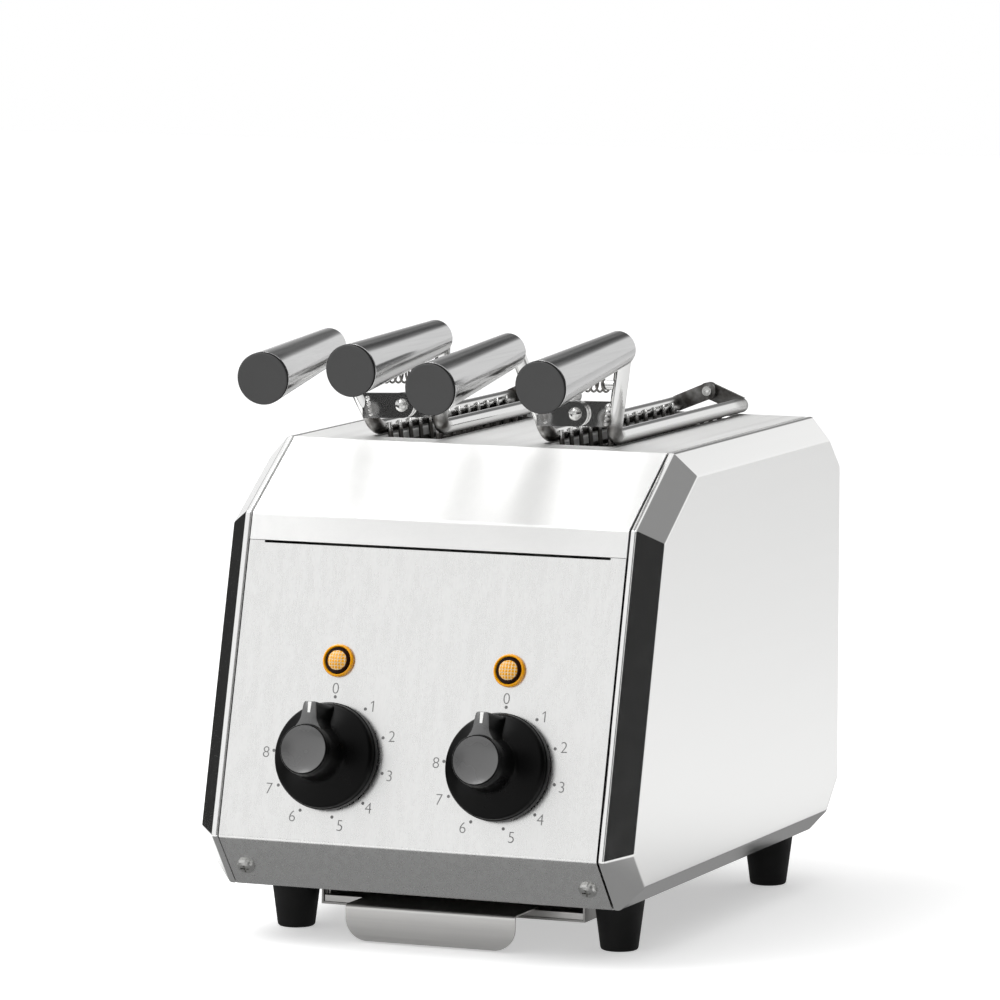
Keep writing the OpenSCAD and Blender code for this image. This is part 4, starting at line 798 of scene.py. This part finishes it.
def lampEye():
    # the eye of the lens is pressed into small pyramids that scatter the lamp
    radius, count = lamp["radius"] - lamp["eyeInset"], lamp["cells"]
    around = count * 6
    rings = []
    for k in range(count + 1):
        share = 1 - k / count * 0.94
        ring = []
        for i in range(around):
            a = 2 * pi * (i + 0.5 * (k % 2)) / around
            x, y = radius * share * cos(a), radius * share * sin(a)
            ridge = abs(sin(pi * x / lensPitch) * sin(pi * y / lensPitch))
            cell = lamp["pyramid"] * (1 - share ** 6) * ridge
            ring.append((x, y, lamp["top"] + lamp["eyeRise"] * (1 - share ** 2) + cell))
        rings.append(ring)
    base = [(x, y, lamp["eyeLow"]) for x, y, z in rings[0]]
    return ringPart([base] + rings, True, True, True)


def makeLamp(side):
    place = onPanel(side, controls["lampHeight"])
    r, top = lamp["radius"], lamp["top"]
    inner, tube, deep = lamp["tubeInner"], lamp["tubeOuter"], lamp["tubeDepth"]
    ring = [(inner, -deep), (tube, -deep), (tube, -0.1), (r - 0.3, 0), (r, 0.3), (r, 1.2), (r - 0.25, 1.8),
            (r - 0.7, top), (r - 1.0, top), (r - 1.3, 1.8), (r - 1.42, 1.1), (r - 1.42, 0.1), (inner, 0.1)]
    well = [(r - 3.3, 0.15), (r - 1.44, 0.15), (r - 1.44, 1.3), (r - 1.9, 1.0), (r - 2.5, 1.0),
            (r - 2.65, 1.5), (r - 2.75, 2.4), (r - 3.3, 2.4)]
    addPiece("lampRing_" + side, moved(revolvePart(ring, 64), place), amberRing, "toaster",
             ["lamp_lens_" + side], 50)
    # the well holds the painted shade round the eye
    addPiece("lampWell_" + side, moved(revolvePart(well, 64), place), amberWellPaintedShade, "toaster",
             (), 50)
    addPiece("lampEye_" + side, moved(lampEye(), place), amberEye, "toaster", (), 8)


def textPart(text, height):
    curve = bpy.data.curves.new("figure" + text, "FONT")
    curve.body = text
    curve.size = height
    curve.offset = -height * 0.016
    curve.extrude = 0.03
    holder = bpy.data.objects.new("figure" + text, curve)
    bpy.context.scene.collection.objects.link(holder)
    mesh = bpy.data.meshes.new_from_object(holder.evaluated_get(bpy.context.evaluated_depsgraph_get()))
    points = [v.co.copy() for v in mesh.vertices]
    faces = [tuple(p.vertices) for p in mesh.polygons]
    bpy.data.objects.remove(holder)
    bpy.data.curves.remove(curve)
    bpy.data.meshes.remove(mesh)
    low = Vector((min(p.x for p in points), min(p.y for p in points), 0))
    high = Vector((max(p.x for p in points), max(p.y for p in points), 0))
    grow = height / (high.y - low.y)
    return [(p - (low + high) / 2) * grow for p in points], faces


def flaggedOne(height):
    half, pen = height / 2, height * 0.1
    shape = [(0, -half), (pen, -half), (pen, half), (pen * 0.2, half), (-pen * 2.3, half * 0.62),
             (-pen * 2, half * 0.46), (0, half * 0.76)]
    return prismPart(shape, -0.03, 0.03)


def makeScale(side):
    parts = []
    for k, (x, y) in enumerate(scale["places"]):
        a = radians(scale["step"] * k)
        way = Vector((sin(a), cos(a), 0)) * scale["dotRing"]
        dot = revolvePart([(0, 0.05), (scale["dot"], 0.05), (scale["dot"], -0.1), (0, -0.1)], 20)
        parts.append(moved(dot, Matrix.Translation(way)))
        figure = flaggedOne(scale["figure"]) if k == 1 else textPart(str(k), scale["figure"])
        parts.append(moved(figure, Matrix.Translation((x, y, 0.02))))
    addPiece("printedScale_" + side, moved(joined(parts), onPanel(side, controls["knobHeight"])), greyInk,
             "toaster", (), 30)


for sideName in signs:
    makeKnob(sideName)
    makeLamp(sideName)
    makeScale(sideName)
print("controls built")


# Tongs

tongs = {                                # each half: its handle's shift to the right and up, and its toe-in
    "left": {"mid": -45.8, "hinge": 254.268, "lean": 2.6, "drop": 4.75,
             "halves": {"left": ((-2.5, -1.5), 4.6), "right": ((-2.4, 1.9), 1.9)}},
    "right": {"mid": 45.7, "hinge": 253.679, "lean": 0.6, "drop": 6.15,
              "halves": {"left": ((0.1, -1.1), -0.3), "right": ((0.2, 1.4), 0.9)}},
}
handle = {
    "x": 28.5, "y": -65, "z": 32.5, "length": 100, "rear": 17.4, "front": 25, "edge": 2.4, "wall": 2,
    "cap": 2.6, "groove": 2.2, "plug": 2,
}
bars = {"rod": 7.4, "x": 17.2, "drop": 11.5, "frontY": -45.5, "neck": 6.2}
hinge = {"front": -52.6, "rear": 128}
spring = {
    "height": 14.7, "width": 8, "wire": 1.1, "turns": 11, "seat": 2.5, "steps": 24,
    "barShare": 1.15, "endGap": 0.6,     # the bars lean, so they are a little wider along the spring
}
welds = [                                # place on the right half, and how far the tint reaches
    ((bars["x"], bars["frontY"] - 1, 3 - bars["drop"]), 10),       # the bar's root
    ((16, hinge["front"] + 3, -2), 6),                             # the front hinge plate
    ((9, hinge["rear"] + 3, -4), 24),                              # the rear hinge plate, darkened over a wider reach
]


def tongPlace(t):
    return Matrix.Translation((t["mid"], 0, t["hinge"])) @ Matrix.Rotation(radians(-t["lean"]), 4, "Y")


def handleWay(t, h):
    toe, drop = radians(t["halves"][h][1]), radians(t["drop"])
    return Vector((-signs[h] * sin(toe) * cos(drop), -cos(toe) * cos(drop), -sin(drop)))


def handleSeat(t, h):
    dx, dz = t["halves"][h][0]
    return Vector((signs[h] * handle["x"] + dx, handle["y"], handle["z"] + dz))


def barAt(t, h, z):
    low = Vector((signs[h] * bars["x"], bars["frontY"], -bars["drop"]))
    top = handleSeat(t, h) - bars["neck"] * handleWay(t, h)
    return low + (top - low) * (z - low.z) / (top.z - low.z)


def aimed(place, way):
    return Matrix.Translation(place) @ way.to_track_quat("Z", "X").to_matrix().to_4x4()


def makeHandle(side, h):
    t = tongs[side]
    body = "tong_" + side + ("_jaw" if h == "left" else "")
    which = "_%s_%s" % (side, h)
    rearR, frontR, edge = handle["rear"] / 2, handle["front"] / 2, handle["edge"]
    length = handle["length"] - handle["cap"]
    bore, inner = bars["rod"] / 2 + 0.1, frontR - handle["wall"]
    place = tongPlace(t) @ aimed(handleSeat(t, h), handleWay(t, h))
    sleeve = [(bore, 0.4)] + lowEdge(rearR, edge, 10)
    for share in (0.2, 0.4, 0.6, 0.8, 0.985):
        sleeve.append((rearR + (frontR - rearR) * share, edge + (length - edge) * share))
    sleeve += [(frontR - 0.05, length - 0.35), (frontR - 0.4, length - 0.02), (inner, length),
               (inner, length - 5), (bore, length - 9)]
    addPiece("gripSleeve" + which, moved(revolvePart(sleeve, 96), place), gripSteel, body,
             ["tong_%s_handle_%s" % (side, h)], 45)
    end = place @ Matrix.Translation((0, 0, length))
    r, groove, plug = frontR + 0.1, handle["groove"], handle["plug"]
    rim = [(0, -plug), (inner - 0.2, -plug), (inner - 0.2, 0), (r - 0.9, 0.02), (r - 0.9, 0.3),
           (r - 0.15, 0.35), (r, 0.6), (r, groove), (0, groove)]
    face = [(0, groove - 0.3), (r - 0.3, groove - 0.3), (r - 0.14, groove), (r - 0.3, 2.44),
            (r - 0.7, 2.54), (r - 1.3, 2.58), (r - 1.8, 2.52), (r - 6, 2.56), (0, 2.58)]
    # the cap's side carries the painted shade of the groove
    addPiece("capPlug" + which, moved(revolvePart(rim, 96), end), capEdgePaintedShade, body,
             ["tong_%s_cap_%s" % (side, h)], 45)
    addPiece("capFace" + which, moved(revolvePart(face, 96), end), blackCap, body, (), 45)


def makeSpring(side):
    t, z = tongs[side], spring["height"]
    r, wire = (spring["width"] - spring["wire"]) / 2, spring["wire"] / 2
    y = (barAt(t, "left", z).y + barAt(t, "right", z).y) / 2
    clear = bars["rod"] / 2 * spring["barShare"] + spring["endGap"] + wire
    start, end = [barAt(t, h, z - spring["width"] / 2).x - s * clear for h, s in signs.items()]
    count = spring["steps"] * spring["turns"]
    path = []
    for k in range(count + 1):
        a = 2 * pi * k / spring["steps"]
        path.append(Vector((start + (end - start) * k / count, y + r * cos(a), z + r * sin(a))))
    place = tongPlace(t)
    coil = addPiece("closingSpring_" + side, moved(tubePart(path, wire, 10), place), springWire, None,
                    ["tong_%s_spring" % side], 60)
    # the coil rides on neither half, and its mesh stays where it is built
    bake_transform(coil)


def frameSteel(side):
    place = Matrix.Translation((0, frameShift, 0)) @ tongPlace(tongs[side])
    heated = [(place @ Vector((s * x, y, z)), reach) for s in (-1, 1) for (x, y, z), reach in welds]
    return tongSteel("weldedTongSteel_" + side, "#dededd", 0.1, heated)


for tongSide in signs:
    steel = frameSteel(tongSide)
    for half in signs:
        makeHandle(tongSide, half)
        for slotOne in nodes["tong_%s_frame_%s" % (tongSide, half)].material_slots:
            slotOne.material = steel
    makeSpring(tongSide)
print("tongs dressed")


# Floor

# The glow only whitens what the camera and the metal see.
# Metal sees painted shade on the floor close by, and a painted dark patch to the left: painted reflections.
floorPaint = {
    "colour": "#e6e6e6", "glow": 0.45, "mirrored": 0.15, "shade": "#8e8e8e", "paintedDark": "#303030",
    "front": (-0.19, -0.175), "side": (0.2, 0.14),         # where the painted shade fades in, in metres
    "left": (-0.35, -0.6),                                 # where the painted dark starts and where it is full
    "half": 6.0,
}


def makeFloor(c):
    mesh = bpy.data.meshes.new("floor")
    corners = [(i * c["half"], j * c["half"], 0) for i, j in ((-1, -1), (1, -1), (1, 1), (-1, 1))]
    mesh.from_pydata(corners, [], [(0, 1, 2, 3)])
    floor = bpy.data.objects.new("floor", mesh)
    bpy.context.scene.collection.objects.link(floor)
    material, tree, output = newMaterial("paintedFloor")
    paths = addNode(tree, "ShaderNodeLightPath").outputs
    place = addNode(tree, "ShaderNodeTexCoord").outputs["Object"]
    axes = addNode(tree, "ShaderNodeSeparateXYZ", {"Vector": place}).outputs
    across = addNode(tree, "ShaderNodeMath", {0: axes["X"]}, operation="ABSOLUTE").outputs[0]
    fades = []
    for value, (start, end) in ((axes["Y"], c["front"]), (across, c["side"]), (axes["X"], c["left"])):
        fades.append(addNode(tree, "ShaderNodeMapRange", {"Value": value, "From Min": start, "From Max": end},
                             interpolation_type="SMOOTHSTEP").outputs["Result"])
    front, side, paintedDark = fades
    close = addNode(tree, "ShaderNodeMath", {0: front, 1: side}, operation="MULTIPLY").outputs[0]
    paintedShadeMask = addNode(tree, "ShaderNodeMath", {0: close, 1: paintedDark}, operation="MAXIMUM").outputs[0]
    paintedShadeMask = addNode(tree, "ShaderNodeMath", {0: paintedShadeMask, 1: paths["Is Glossy Ray"]},
                    operation="MULTIPLY").outputs[0]
    tone = addNode(tree, "ShaderNodeMix", {
        "Factor": paintedDark, "A": linear(c["shade"]), "B": linear(c["paintedDark"])}, data_type="RGBA")
    seen = addNode(tree, "ShaderNodeMath", {0: paths["Is Camera Ray"], 1: paths["Is Transmission Ray"]},
                   operation="MAXIMUM").outputs[0]
    glow = addNode(tree, "ShaderNodeMath", {0: seen, 1: c["glow"]}, operation="MULTIPLY").outputs[0]
    glint = addNode(tree, "ShaderNodeMath", {0: paths["Is Glossy Ray"], 1: c["mirrored"]},
                    operation="MULTIPLY").outputs[0]
    glow = addNode(tree, "ShaderNodeMath", {0: glow, 1: glint}, operation="MAXIMUM").outputs[0]
    shader = addNode(tree, "ShaderNodeBsdfPrincipled", {
        "Base Color": linear(c["colour"]), "Roughness": 0.9, "Emission Color": linear("#ffffff"),
        "Emission Strength": glow})
    # the painted shade that metal sees in place of the floor
    paintedShade = addNode(tree, "ShaderNodeEmission", {"Color": tone.outputs["Result"], "Strength": 1.0})
    both = addNode(tree, "ShaderNodeMixShader", {0: paintedShadeMask, 1: shader.outputs[0], 2: paintedShade.outputs[0]})
    tree.links.new(both.outputs[0], output.inputs["Surface"])
    mesh.materials.append(material)


makeFloor(floorPaint)
print("floor laid")
